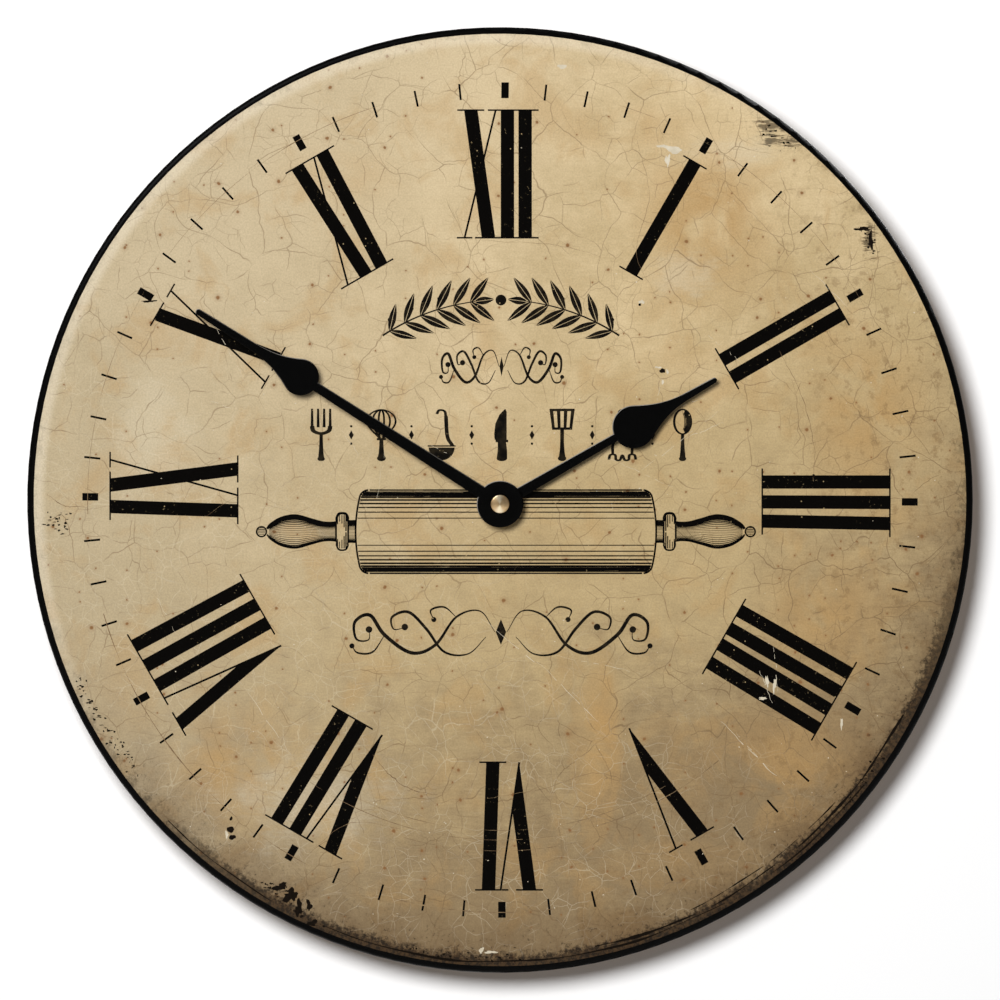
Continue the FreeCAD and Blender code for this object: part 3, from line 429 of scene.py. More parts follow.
def inkPiece(name, shapes, finish, thickness=printing["thickness"]):
    points, faces = [], []
    for shape in shapes:
        # a quad goes in as two triangles, since at a tight bend it may cross itself
        for part in [shape[:3], [shape[0]] + shape[2:]] if len(shape) == 4 else [shape]:
            area = signedArea(part)
            if abs(area) > printing["smallest"]:
                faces.append(list(range(len(points), len(points) + len(part))))
                points.extend(Vector((p[0], p[1])) for p in (part if area > 0 else part[::-1]))
    places, _, triangles, _, _, sources = delaunay_2d_cdt(points, [], faces, 1, printing["tolerance"])
    kept = [tri for tri, source in zip(triangles, sources) if source]
    front = sheetFront - thickness * mm
    back = sheetFront + printing["sink"] * mm
    count = len(places)
    spots = [(p.x * mm, p.y * mm + dialRise) for p in places]
    verts = [(x, front, z) for x, z in spots] + [(x, back, z) for x, z in spots]
    sides = {}
    for tri in kept:
        for a, b in zip(tri, tri[1:] + tri[:1]):
            sides[(a, b)] = True
    rims = [(a, b) for a, b in sides if (b, a) not in sides]
    polygons = [list(tri) for tri in kept]
    polygons += [[v + count for v in reversed(tri)] for tri in kept]
    polygons += [[b, a, a + count, b + count] for a, b in rims]
    mesh = bpy.data.meshes.new(name)
    mesh.from_pydata(verts, [], polygons)
    mesh.validate()
    piece = bpy.data.objects.new(name, mesh)
    bpy.context.scene.collection.objects.link(piece)
    used = {v for polygon in polygons for v in polygon}
    if len(used) < len(verts):
        dropLoosePoints(mesh, used)
    mesh.materials.append(finish.material)
    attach(piece, "clock")
    return piece


def dropLoosePoints(mesh, used):
    order = sorted(used)
    place = {old: new for new, old in enumerate(order)}
    verts = [mesh.vertices[old].co.copy() for old in order]
    polygons = [[place[v] for v in polygon.vertices] for polygon in mesh.polygons]
    mesh.clear_geometry()
    mesh.from_pydata(verts, [], polygons)


# Roman numerals, feet to the middle
numeral = {"top": 125.8, "bottom": 84.2, "thick": 4.3, "thin": 0.62, "serif": 0.5, "overhang": 2.2}
glyphs = {  # strokes by where they meet the top and the bottom, across from the hour's own line
    1: [("stem", 0.0, 0.0)],
    2: [("stem", -3.3, -3.3), ("stem", 3.2, 3.2)],
    3: [("stem", -5.8, -5.8), ("stem", 0.8, 0.6), ("stem", 7.6, 6.8)],
    4: [("stem", -7.9, -7.7), ("stem", -1.0, -1.1), ("stem", 5.5, 4.8), ("stem", 12.6, 11.6)],
    5: [("vee", -2.7, 0.7, 7.1)],
    6: [("vee", -9.5, -6.2, -0.2), ("stem", 3.7, 2.3)],
    7: [("vee", -9.4, -5.0, -0.6), ("stem", 3.7, 2.9), ("stem", 10.5, 9.5)],
    8: [("vee", -10.8, -5.4, -1.2), ("stem", 3.5, 3.1), ("stem", 10.8, 10.0), ("stem", 18.2, 16.9)],
    9: [("stem", -2.1, -3.5), ("cross", 4.8, 10.0, 13.0, 1.5)],
    10: [("cross", -3.4, 3.7, 5.4, -4.9)],
    11: [("cross", -2.9, -1.1, 3.3, -7.8), ("stem", 6.4, 4.7)],
    12: [("cross", -9.4, -3.7, -1.4, -11.4), ("stem", 2.4, 2.4), ("stem", 8.1, 8.1)],
}


def serifs(spans, level, size):
    # thin lines over the stroke ends, joined where they nearly touch
    reach = sorted((low - size["overhang"], high + size["overhang"]) for low, high in spans)
    joined = [list(reach[0])]
    for low, high in reach[1:]:
        if low < joined[-1][1]:
            joined[-1][1] = max(high, joined[-1][1])
        else:
            joined.append([low, high])
    return [bar((low, level), (high, level), size["serif"]) for low, high in joined]


def numeralShapes(strokes, size):
    top, bottom = size["top"] - size["serif"] / 2, size["bottom"] + size["serif"] / 2
    thick, thin = size["thick"], size["thin"]
    shapes, topSpans, bottomSpans = [], [], []
    for stroke in strokes:
        kind, places = stroke[0], stroke[1:]
        if kind == "stem":
            heads, feet = [(places[0], thick)], [(places[1], thick)]
            shapes.append(bar((places[0], top), (places[1], bottom), thick))
        elif kind == "cross":
            heads = [(places[0], thick), (places[2], thin)]
            feet = [(places[1], thick), (places[3], thin)]
            shapes.append(bar((places[0], top), (places[1], bottom), thick))
            shapes.append(bar((places[2], top), (places[3], bottom), thin))
        else:
            head, tip, hair = places
            heads, feet = [(head, thick), (hair, thin)], []
            left, right = head - thick / 2, head + thick / 2
            share = (hair - right) / ((tip - left) - (tip - hair))
            meet = (right + (tip - left) * share, top + (bottom - top) * share)
            shapes.append([Vector((left, top)), Vector((right, top)), Vector(meet), Vector((tip, bottom))])
            shapes.append(bar((hair, top), (tip, bottom), thin))
        topSpans += [(at - width / 2, at + width / 2) for at, width in heads]
        bottomSpans += [(at - width / 2, at + width / 2) for at, width in feet]
    shapes += serifs(topSpans, top, size)
    if bottomSpans:
        shapes += serifs(bottomSpans, bottom, size)
    return shapes


print("numerals and minute track")
for hour, strokes in glyphs.items():
    clockwise = -math.radians(30 * hour)
    inkPiece(f"numeral_{hour:02d}", turned(numeralShapes(strokes, numeral), clockwise), ink)

track = {"minuteInner": 129.4, "minuteOuter": 134.6, "minuteWidth": 0.66,
         "hourInner": 129.4, "hourOuter": 134.5, "hourWidth": 2.4,
         "drift": (1.6, 0.4, 0.1, 0.6, 1.3, 1.3, -0.6, 1.3, 2.3, 1.0, 0.3, 1.6),  # hour marks, clockwise
         "sag": (-0.9, 0.6, -1.2, 0.8, -0.6, -3.0, -3.2, -1.9, -0.8, -1.8, -0.2, -1.2)}  # minutes between
minuteTicks, hourBlocks = [], []
for minute in range(60):
    hour, step = divmod(minute, 5)
    share = step / 5
    offset = track["drift"][hour] * (1 - share) + track["drift"][(hour + 1) % 12] * share
    offset += track["sag"][hour] * math.sin(math.pi * share)
    angle = -math.radians(6 * minute) - offset / track["hourInner"]
    if step:
        tick = bar((0, track["minuteInner"]), (0, track["minuteOuter"]), track["minuteWidth"])
        minuteTicks += turned([tick], angle)
    else:
        block = bar((0, track["hourInner"]), (0, track["hourOuter"]), track["hourWidth"])
        hourBlocks += turned([block], angle)
inkPiece("minute_ticks", minuteTicks, ink)
inkPiece("hour_blocks", hourBlocks, ink)


# wear that crosses paper and ink alike
wear = {
    "rings": [  # old compass lines: radius, start and end clockwise, width
        (132.8, 172, 254, 0.24), (132.8, 268, 350, 0.13), (132.8, 8, 74, 0.11), (109.5, 140, 214, 0.16),
        (106.4, 150, 206, 0.12), (113.0, 160, 196, 0.10),
    ],
    "rimLines": [(147.2, 118, 168, 0.62), (148.6, 128, 226, 0.5), (145.2, 132, 156, 0.3)],
    "chips": [  # centre, half sizes, raggedness
        ((-86.8, -106.1), (1.3, 0.9), 0.25), ((-86.2, -108.6), (1.1, 0.8), 0.25),
        ((52.3, 41.6), (1.0, 0.7), 0.3), ((-70.8, -124.6), (1.8, 1.3), 0.6),
        ((-67.4, -127.4), (2.2, 2.0), 0.6), ((-64.8, -131.4), (1.2, 2.4), 0.6),
        ((-61.5, -130.5), (0.9, 1.6), 0.5), ((-60.4, -136.2), (1.6, 0.9), 0.6),
        ((45.0, 62.9), (0.5, 0.4), 0.2), ((116.8, 87.3), (2.3, 0.7), 0.5),
        ((119.4, 83.6), (0.8, 2.6), 0.5), ((-113.0, 64.0), (2.0, 0.4), 0.5),
        ((101.0, 7.8), (0.5, 0.5), 0.3), ((-86.6, -102.6), (0.5, 0.6), 0.4),
    ],
    "smudges": [  # soot at the rim: start, end, spread, count
        ((84.0, 120.5), (93.5, 114.5), 1.6, 24), ((116.0, 88.0), (121.5, 79.0), 0.9, 18),
        ((-126.5, -72.0), (-117.0, -88.0), 1.0, 30), ((-137.0, -56.0), (-124.0, -80.0), 0.8, 40),
        ((-74.0, -122.0), (-60.0, -139.0), 2.0, 60), ((-30.0, -147.0), (10.0, -149.0), 1.2, 70),
        ((124.0, -84.0), (110.0, -102.0), 1.4, 60), ((-146.5, -6.0), (-138.0, -8.0), 1.6, 30),
    ],
    "flakes": [
        ((56.0, 112.8), (2.6, 1.1), 0.5), ((52.5, 113.9), (1.6, 0.6), 0.5),
        ((54.0, 109.4), (0.7, 2.0), 0.6), ((45.6, 63.8), (0.9, 0.6), 0.5),
        ((-88.0, -107.8), (0.4, 1.4), 0.4), ((86.0, -58.4), (0.5, 1.9), 0.6),
        ((88.4, -59.6), (0.5, 2.2), 0.6), ((84.6, -63.9), (1.4, 0.4), 0.6),
        ((52.4, 38.0), (0.3, 0.9), 0.5), ((20.0, 139.6), (1.7, 0.6), 0.5),
        ((-3.0, -145.6), (1.6, 0.5), 0.5), ((110.0, -72.0), (0.4, 1.7), 0.5),
        ((51.0, 42.7), (0.9, 0.35), 0.5), ((53.9, 41.3), (0.35, 0.8), 0.5),
        ((-6.0, -145.0), (0.7, 0.9), 0.5),
    ],
    "scratches": [  # start, end, width
        ((-6, -38), (28, -66), 0.16), ((12, -52), (33, -73), 0.16), ((18, -50), (46, -56), 0.12),
        ((71, -71), (92, -92), 0.20), ((76, -75), (86, -86), 0.14), ((88, -46), (90, -64), 0.16),
        ((83, -54), (88, -66), 0.16), ((52, 40), (50, 27), 0.12), ((58, 30), (66, 33), 0.16),
        ((60, 20), (72, 25), 0.14), ((44, 8), (72, 30), 0.12), ((-41, -8), (-36, 22), 0.09),
        ((-84, -58), (-66, -84), 0.12), ((-26, 20), (-12, 12), 0.12), ((-95, 62), (-82, 38), 0.12),
        ((-99, 34), (-82, 28), 0.10), ((34, 14), (56, 4), 0.10), ((-52, 24), (-44, 12), 0.10),
        ((100, 74), (112, 62), 0.12), ((66, 54), (78, 44), 0.10), ((-112, -28), (-104, -44), 0.10),
    ],
    "cracks": [  # long brown cracks: points along them, width
        (((-41, -82), (-36, -88), (-29, -93), (-20, -95)), 0.26),
        (((90, 48), (97, 34), (101, 18), (101, 6)), 0.20),
        (((-4, -96), (14, -93), (30, -88), (46, -92)), 0.14), (((-146, 2), (-140, -2), (-134, -2)), 0.26),
        (((-147, -8), (-141, -5), (-138, -12)), 0.20), (((78, 70), (88, 74), (99, 71)), 0.10),
        (((44, 116), (48, 98), (44, 80), (50, 66)), 0.12), (((-10, 84), (18, 82), (34, 78)), 0.10),
        (((-96, -6), (-82, 2), (-70, -2)), 0.10), (((-60, -112), (-48, -104), (-30, -106)), 0.12),
    ],
}


def blot(centre, halfWide, halfHigh, ragged, rng, steps=22):
    waves = [(k, ragged / k ** 0.6 * rng.uniform(0.3, 1.0), rng.uniform(0, 6.28)) for k in (2, 3, 5, 8)]
    points = []
    for step in range(steps):
        angle = 2 * math.pi * step / steps
        swell = max(1 + sum(size * math.sin(k * angle + start) for k, size, start in waves), 0.25)
        points.append(Vector((centre[0] + halfWide * swell * math.cos(angle),
                              centre[1] + halfHigh * swell * math.sin(angle))))
    return points


def shakyLine(points, width, rng, reach=0.35, gaps=0.0):
    # a wavering line in short lengths, some of them missing
    line = [Vector(each) for each in curve(points)] if len(points) > 2 else [
        Vector(points[0]).lerp(Vector(points[1]), k / 14) for k in range(15)]
    line = [p + Vector((rng.uniform(-reach, reach), rng.uniform(-reach, reach))) for p in line]
    taper = lambda share: 0.35 + 0.65 * math.sin(math.pi * share)
    quads = ribbon(line, lambda share: width * rng.uniform(0.45, 1.25) * taper(share))
    return [quad for quad in quads if rng.random() >= gaps]


def arcLine(radius, start, end, waver=0.0):
    angles = [math.radians(start + (end - start) * k / 90) for k in range(91)]
    waves = [(k, rng.uniform(0, 6.28)) for k in (7, 17, 31)]
    radii = [radius + waver * sum(math.sin(k * a + at) for k, at in waves) for a in angles]
    return [Vector((math.sin(a), math.cos(a))) * r for a, r in zip(angles, radii)]


def wornRibbon(line, width):
    # a line that swells and fades along its length and breaks where it is thinnest
    waves = [(k, rng.uniform(0, 6.28)) for k in (9, 23, 51)]
    swell = lambda share: 0.5 + 0.28 * sum(math.sin(k * share + at) for k, at in waves)
    quads = ribbon(line, lambda share: width * max(swell(share) * rng.uniform(0.8, 1.2), 0.02))
    return [quad for at, quad in enumerate(quads) if swell(at / len(quads)) > 0.16]


print("wear")
rng = random.Random(7)
soot = Finish("sootedChips", rough=0.8, specular=0.05)
soot.set(colour=soot.mix(soot.noise(soot.point(), 0.8), (0.002, 0.0016, 0.0012), (0.012, 0.008, 0.005)))
chalk = Finish("flakedPaint", rough=0.8, specular=0.1)
chalk.set(colour=chalk.mix(chalk.noise(chalk.point(), 2.5), (0.44, 0.37, 0.25), (0.72, 0.66, 0.53)))
ringLines = []
for radius, start, end, width in wear["rings"]:
    ringLines += wornRibbon(arcLine(radius, start, end), 1.3 * width)
for points, width in wear["cracks"]:
    ringLines += shakyLine(points, width, rng, 0.22)
inkPiece("crack_lines", ringLines, brownInk, 0.04)
chips = [blot(centre, *size, ragged, rng) for centre, size, ragged in wear["chips"]]
for start, end, spread, count in wear["smudges"]:
    for _ in range(count):
        at = Vector(start).lerp(Vector(end), rng.random())
        at += Vector((rng.gauss(0, spread), rng.gauss(0, spread)))
        if at.length < 149:
            chips.append(blot(at, rng.uniform(0.1, 0.6), rng.uniform(0.08, 0.4), 0.4, rng, 12))
for radius, start, end, width in wear["rimLines"]:
    chips += wornRibbon(arcLine(radius, start, end, 0.14), 1.4 * width)
inkPiece("soot_chips", chips, soot, 0.045)
flakes = [blot(centre, *size, ragged, rng) for centre, size, ragged in wear["flakes"]]
for start, end, width in wear["scratches"]:
    flakes += shakyLine((start, end), width, rng, 0.3, 0.35)
for _ in range(150):
    angle, radius = rng.uniform(0, 2 * math.pi), 148 * math.sqrt(rng.random())
    at = (radius * math.cos(angle), radius * math.sin(angle))
    flakes.append(blot(at, rng.uniform(0.08, 0.26), rng.uniform(0.08, 0.22), 0.4, rng, 10))
inkPiece("paint_flakes", flakes, chalk, 0.05)


# engraved rolling pin in the middle of the dial
rollingPin = {
    "centre": (1.9, -10.2), "halfLength": 48.4, "halfHeight": 13.4,
    "endBulge": 1.9, "corner": 2.2, "straight": 0.84,
    "outline": 0.5, "rows": (19, 28, 35.5, 42.5, 49.5, 56, 61.5, 67, 73), "breaks": 7,
    "rowWidths": (0.30, 0.36, 0.42, 0.5, 0.56, 0.62, 0.66, 0.62, 0.34),
}
grip = {  # half heights along the handle, from the barrel outwards
    "profile": ((0.0, 3.4), (2.6, 3.4), (2.8, 4.6), (3.6, 5.8), (5.6, 5.8), (6.4, 4.4), (6.7, 3.0),
                (10.5, 2.9), (14.5, 3.9), (19.5, 5.2), (24.0, 4.5), (27.5, 2.5), (28.8, 0.9)),
    "outline": 0.55, "ball": (30.6, 1.8), "collar": (2.7, 6.6),
    "hatch": (  # share of the half height, width
        (0.94, 0.70), (0.85, 0.58), (0.76, 0.44), (0.66, 0.36), (0.56, 0.28), (0.45, 0.22), (0.33, 0.18),
        (0.20, 0.15), (0.06, 0.13), (-0.08, 0.12), (-0.22, 0.12), (-0.36, 0.14), (-0.50, 0.17),
        (-0.62, 0.21), (-0.74, 0.27), (-0.85, 0.36), (-0.94, 0.5),
    ),
    "collarLines": ((3.4, 0.2, 0.42), (4.0, 1.4, 0.36), (4.7, 2.6, 0.30), (5.5, 3.2, 0.26), (6.1, 2.4, 0.3)),
}


def barrelEdge(height, pin):
    # how far the barrel's rounded end stands out at a height above its middle
    share = min(abs(height) / pin["halfHeight"], 1.0)
    rounding = max(0.0, share - pin["straight"]) / (1 - pin["straight"])
    cornerLoss = pin["corner"] * (1 - math.sqrt(1 - rounding ** 2))
    return pin["halfLength"] - pin["endBulge"] * share ** 2 - cornerLoss


def barrelShapes(pin, rng):
    cx, cy = pin["centre"]
    high = pin["halfHeight"]
    shapes = []
    levels = [high * math.sin(math.radians(a)) for a in range(-90, 91, 4)]
    end = [Vector((cx + barrelEdge(level, pin), cy + level)) for level in levels]
    for side in (end, [Vector((2 * cx - p.x, p.y)) for p in end]):
        shapes += ribbon(side, pin["outline"] * 1.15)
    for sign in (1, -1):
        rows = [(math.sin(math.radians(a)) * high, w) for a, w in zip(pin["rows"], pin["rowWidths"])]
        rows.append((high, pin["outline"]))
        for level, width in rows:
            reach = barrelEdge(level, pin) - 0.4
            cuts = sorted(rng.uniform(-reach, reach) for _ in range(pin["breaks"]))
            start = -reach
            for cut in cuts + [reach]:
                swell = width * rng.uniform(0.82, 1.12)
                y = cy + sign * level
                shapes.append(bar((cx + start, y), (cx + cut, y), width, swell))
                start = cut - 0.05
    return shapes


def gripShapes(pin, handle, rng):
    # right handle: outline, ball, and shading lines that follow its swelling
    cx, cy = pin["centre"]
    foot = cx + pin["halfLength"] - 0.3
    line = curve(handle["profile"])
    shapes = []
    for sign in (1, -1):
        edge = [Vector((foot + p.x, cy + sign * p.y)) for p in line]
        weight = handle["outline"] * (1.5 if sign > 0 else 1.0)
        shapes += ribbon(edge, weight)
    for share, width in handle["hatch"]:
        inner = [Vector((foot + p.x, cy + share * p.y)) for p in line if handle["collar"][1] <= p.x <= 28.2]
        shapes += ribbon(inner, width * rng.uniform(0.9, 1.1))
        stub = [Vector((foot + p.x, cy + share * p.y)) for p in line if p.x <= handle["collar"][0]]
        shapes += ribbon(stub, width)
    for along in handle["collar"]:
        reach = 3.4 if along < 4 else 3.2
        shapes.append(bar((foot + along, cy - reach), (foot + along, cy + reach), 0.6))
    for along, reach, width in handle["collarLines"]:
        for sign in (1, -1):
            shapes.append(bar((foot + along, cy + sign * reach), (foot + along, cy + sign * 5.4), width))
    ball = (foot + handle["ball"][0], cy)
    radius = handle["ball"][1]
    shapes += ribbon(ellipse(ball, radius - 0.2, steps=28), 0.5, True)
    for row in range(5):
        level = radius * (0.75 - 0.32 * row)
        half = math.sqrt(max(radius ** 2 - level ** 2, 0.01)) - 0.1
        shapes.append(bar((ball[0] - half, cy + level), (ball[0] + half, cy + level), 0.34 - 0.04 * row))
    return shapes


print("rolling pin print")
rng = random.Random(41)
rightGrip = gripShapes(rollingPin, grip, rng)
inkPiece("pin_barrel_print", barrelShapes(rollingPin, rng), ink)
inkPiece("pin_grip_right_print", rightGrip, ink)
inkPiece("pin_grip_left_print", mirrored(rightGrip, rollingPin["centre"][0]), ink)


# ornaments that stand where such dials carry lettering
def leaf(base, angle, length, width):
    # two half blades with a light midrib between them
    steps, rib = 9, 0.14
    halves = []
    for sign in (1, -1):
        outer = []
        for step in range(steps + 1):
            t = step / steps
            outer.append(Vector((t * length, sign * (rib + width / 2 * math.sin(math.pi * t ** 0.85)))))
        inner = [Vector((length, sign * rib * 0.5)), Vector((0, sign * rib * 0.5))]
        halves.append(outer + inner)
    return turned(halves, angle, base)


garland = {"centre": (0.3, -4.6), "radius": 69.0, "reach": 33.5, "gap": 7.0, "pairs": 6,
           "leafLength": 10.6, "leafWidth": 2.5, "stem": 0.6, "spread": 46}


def garlandShapes(size):
    cx, cy = size["centre"]
    shapes = []

    def at(degrees, radius=size["radius"]):
        angle = math.radians(degrees)
        return Vector((cx + radius * math.sin(angle), cy + radius * math.cos(angle)))

    stem = [at(size["gap"] + (size["reach"] - size["gap"]) * k / 20) for k in range(21)]
    shapes += ribbon(stem, lambda share: size["stem"] * (0.55 + 0.45 * share))
    for pair in range(size["pairs"]):
        share = pair / (size["pairs"] - 1)
        degrees = size["gap"] + 1.2 + (size["reach"] - size["gap"] - 3.4) * (1 - share)
        scale = 0.72 + 0.28 * math.sin(math.pi * (0.25 + 0.6 * (1 - share)))
        inward = math.pi - math.radians(degrees)
        for sign in (1, -1):
            angle = inward - sign * math.radians(size["spread"])
            shapes += leaf(at(degrees), angle, size["leafLength"] * scale, size["leafWidth"] * scale)
    shapes += leaf(at(size["gap"]), math.pi - math.radians(size["gap"]), 6.2, 2.2)
    shapes += ribbon(ellipse(at(0), 1.5, steps=24), 0.5, True)
    for berry in (0.34, 0.62, 0.86):
        degrees = size["gap"] + (size["reach"] - size["gap"]) * berry
        shapes.append(ellipse(at(degrees, size["radius"] + 3.2), 0.62, steps=14))
    return shapes + mirrored(shapes, cx)


def flourishShapes(centre, half, height, weight):
    # a symmetrical pair of swelling scrolls about a small lozenge
    cx, cy = centre

    def at(x, y):
        return (cx + x * half, cy + y * height)

    right = pen([at(0.04, 0.0), at(0.14, 0.42), at(0.30, 0.30), at(0.44, -0.26), at(0.60, -0.42),
                 at(0.78, -0.06), at(0.88, 0.34), at(0.98, 0.20), at(0.97, -0.14), at(0.89, -0.16),
                 at(0.88, 0.04)], weight)
    right += pen([at(0.10, -0.10), at(0.22, -0.44), at(0.38, -0.40), at(0.50, 0.06), at(0.62, 0.40),
                  at(0.73, 0.30), at(0.72, 0.06), at(0.65, 0.08)], weight * 0.8)
    right += pen([at(0.30, 0.30), at(0.38, 0.50), at(0.47, 0.44), at(0.45, 0.24)], weight * 0.55)
    right += pen([at(0.78, -0.06), at(0.86, -0.40), at(0.96, -0.42), at(1.0, -0.28)], weight * 0.55)
    for x, y, size in ((0.645, 0.10, 0.9), (0.885, 0.05, 0.9), (0.45, 0.25, 0.7), (1.0, -0.28, 0.7)):
        right.append(ellipse(at(x, y), weight * size, steps=14))
    stone = [[Vector(at(-0.035, 0)), Vector(at(0, -0.26)), Vector(at(0.035, 0)), Vector(at(0, 0.26))]]
    return right + mirrored(right, cx) + stone


def handleShapes(u, top, bottom, width):
    # a utensil's handle, waisted, with a round end
    line = curve([(u, top), (u, top + (bottom - top) * 0.5), (u, bottom + width * 0.6)])
    shapes = ribbon(line, lambda share: width * (0.55 + 0.5 * share ** 2))
    shapes.append(ellipse((u, bottom + width * 0.62), width * 0.62, width * 0.62, steps=16))
    return shapes


def spoonShapes(u, low, high):
    # the bowl is dark along its right side, where it turns away
    shapes = ribbon(ellipse((u, high - 4.2), 1.75, 3.95, 32), 0.5, True)
    for inset, width in ((0.35, 0.42), (0.72, 0.34), (1.04, 0.24), (1.32, 0.16)):
        shapes += ribbon(arc((u, high - 4.2), 1.75 - inset, 3.95 - inset, -72, 72), width)
    return shapes + handleShapes(u, high - 7.9, low, 1.25)


def forkShapes(u, low, high):
    shapes = []
    for tine in (-1.5, -0.5, 0.5, 1.5):
        x = u + tine * 1.25
        shapes.append(bar((x, high), (x, high - 6.0), 0.45, 0.62))
    cradle = curve([(u - 1.9, high - 5.6), (u - 1.55, high - 7.2), (u, high - 8.0), (u + 1.55, high - 7.2),
                    (u + 1.9, high - 5.6)])
    shapes += ribbon(cradle, 0.95)
    return shapes + handleShapes(u, high - 7.8, low, 1.25)


def whiskShapes(u, low, high):
    shapes = []
    for wide in (0.55, 1.7, 2.8):
        loop = curve([(u - 0.35, high - 9.6), (u - wide, high - 5.2), (u - wide * 0.86, high - 1.9),
                      (u, high - 0.3), (u + wide * 0.86, high - 1.9), (u + wide, high - 5.2),
                      (u + 0.35, high - 9.6)])
        shapes += ribbon(loop, 0.42)
    shapes.append(bar((u - 0.95, high - 9.8), (u + 0.95, high - 9.8), 0.7))
    return shapes + handleShapes(u, high - 9.8, low, 1.5)


def ladleShapes(u, low, high):
    shapes = [arc((u, low + 4.4), 2.7, 4.1, 180, 360), bar((u - 2.9, low + 4.9), (u + 2.9, low + 4.9), 0.45)]
    shapes += ribbon(curve([(u + 2.3, low + 4.9), (u + 1.2, low + 8.0), (u + 0.9, high - 2.4)]), 0.8)
    return shapes + ribbon(curve([(u + 0.9, high - 2.6), (u + 0.6, high - 0.8), (u - 0.5, high - 0.5),
                                  (u - 1.0, high - 1.7)]), 0.6)


def knifeShapes(u, low, high):
    blade = [Vector((u + 1.0, low + 6.9)), Vector((u + 1.0, high - 1.0)), Vector((u + 0.7, high)),
             Vector((u - 0.5, high - 1.9)), Vector((u - 1.35, high - 4.8)), Vector((u - 1.6, high - 8.0)),
             Vector((u - 1.5, low + 6.9))]
    shapes = [blade, bar((u - 1.3, low + 6.5), (u + 1.3, low + 6.5), 0.8)]
    handle = curve([(u, low + 6.4), (u + 0.1, low + 3.4), (u, low + 0.8)])
    shapes += ribbon(handle, lambda share: 1.7 + 0.5 * share)
    shapes.append(ellipse((u, low + 0.9), 1.1, 0.9, steps=16))
    return shapes


def turnerShapes(u, low, high):
    shapes = []
    for slot in (-1.5, -0.5, 0.5, 1.5):
        x = u + slot * 1.5
        shapes.append(bar((x, high - 0.2), (u + slot * 1.2, high - 6.4), 0.75, 0.6))
    shapes.append(bar((u - 2.6, high - 0.4), (u + 2.6, high - 0.4), 0.8))
    shapes.append(bar((u - 2.1, high - 6.4), (u + 2.1, high - 6.4), 0.8))
    shapes += ribbon(curve([(u, high - 6.4), (u, high - 8.6), (u, high - 10.2)]), 0.8)
    return shapes + handleShapes(u, high - 9.6, low, 1.45)


def masherShapes(u, low, high):
    wave = curve([(u - 2.8, low + 0.5), (u - 2.5, low + 2.0), (u - 1.5, low + 2.0), (u - 1.3, low + 0.5),
                  (u - 0.5, low + 0.4), (u, low + 1.9), (u + 0.5, low + 0.4), (u + 1.3, low + 0.5),
                  (u + 1.5, low + 2.0), (u + 2.5, low + 2.0), (u + 2.8, low + 0.5)])
    shapes = ribbon(wave, 0.6)
    for sign in (1, -1):
        arm = curve([(u + sign * 2.0, low + 2.1), (u + sign * 1.9, low + 5.6), (u + sign * 0.5, low + 8.2)])
        shapes += ribbon(arm, 0.6)
    shapes.append(bar((u, low + 8.0), (u, high - 1.2), 1.1, 1.75))
    shapes.append(ellipse((u, high - 1.2), 0.95, 1.1, steps=16))
    return shapes


print("ornaments")
utensils = {"left": -57.6, "step": 19.4, "low": 12.5, "high": 29.4, "wide": 1.55}
utensilMakers = [forkShapes, whiskShapes, ladleShapes, knifeShapes, turnerShapes, masherShapes, spoonShapes]
utensilNames = ["fork", "whisk", "ladle", "knife", "turner", "masher", "spoon"]
for index, (name, shapesOf) in enumerate(zip(utensilNames, utensilMakers)):
    along = utensils["left"] + utensils["step"] * index
    shapes = shapesOf(0, utensils["low"], utensils["high"])
    shapes = [[Vector((along + p[0] * utensils["wide"], p[1])) for p in shape] for shape in shapes]
    inkPiece(f"{name}_print", shapes, thinInk)
level = (utensils["low"] + utensils["high"]) / 2
lozenges = []
for index in range(len(utensilNames) - 1):
    along = utensils["left"] + utensils["step"] * (index + 0.5)
    lozenges.append([Vector((along + x, level + y)) for x, y in ((0.8, 0), (0, 1.5), (-0.8, 0), (0, -1.5))])
    lozenges += [ellipse((along, level + side), 0.4, steps=12) for side in (-2.8, 2.8)]
inkPiece("lozenge_prints", lozenges, thinInk)
inkPiece("garland_print", garlandShapes(garland), thinInk)
inkPiece("upper_flourish_print", flourishShapes((0.5, 43.0), 19.5, 12.0, 0.95), thinInk)
inkPiece("lower_flourish_print", flourishShapes((0.3, -42.5), 48.0, 16.0, 1.2), thinInk)


# board, hands and nut
board = {
    "bare": ((0.20, 0.115, 0.055), (0.36, 0.235, 0.13)), "blotch": (0.16, 0.09, 0.045), "blotchSize": 26,
    "lacquer": ((0.0010, 0.0010, 0.0010), (0.0018, 0.0017, 0.0016)),
    "overspray": (144.0, 149.0),  # lacquer mist on the back, by radius
    "nickSize": 1.2, "fibreSize": 0.7,
}


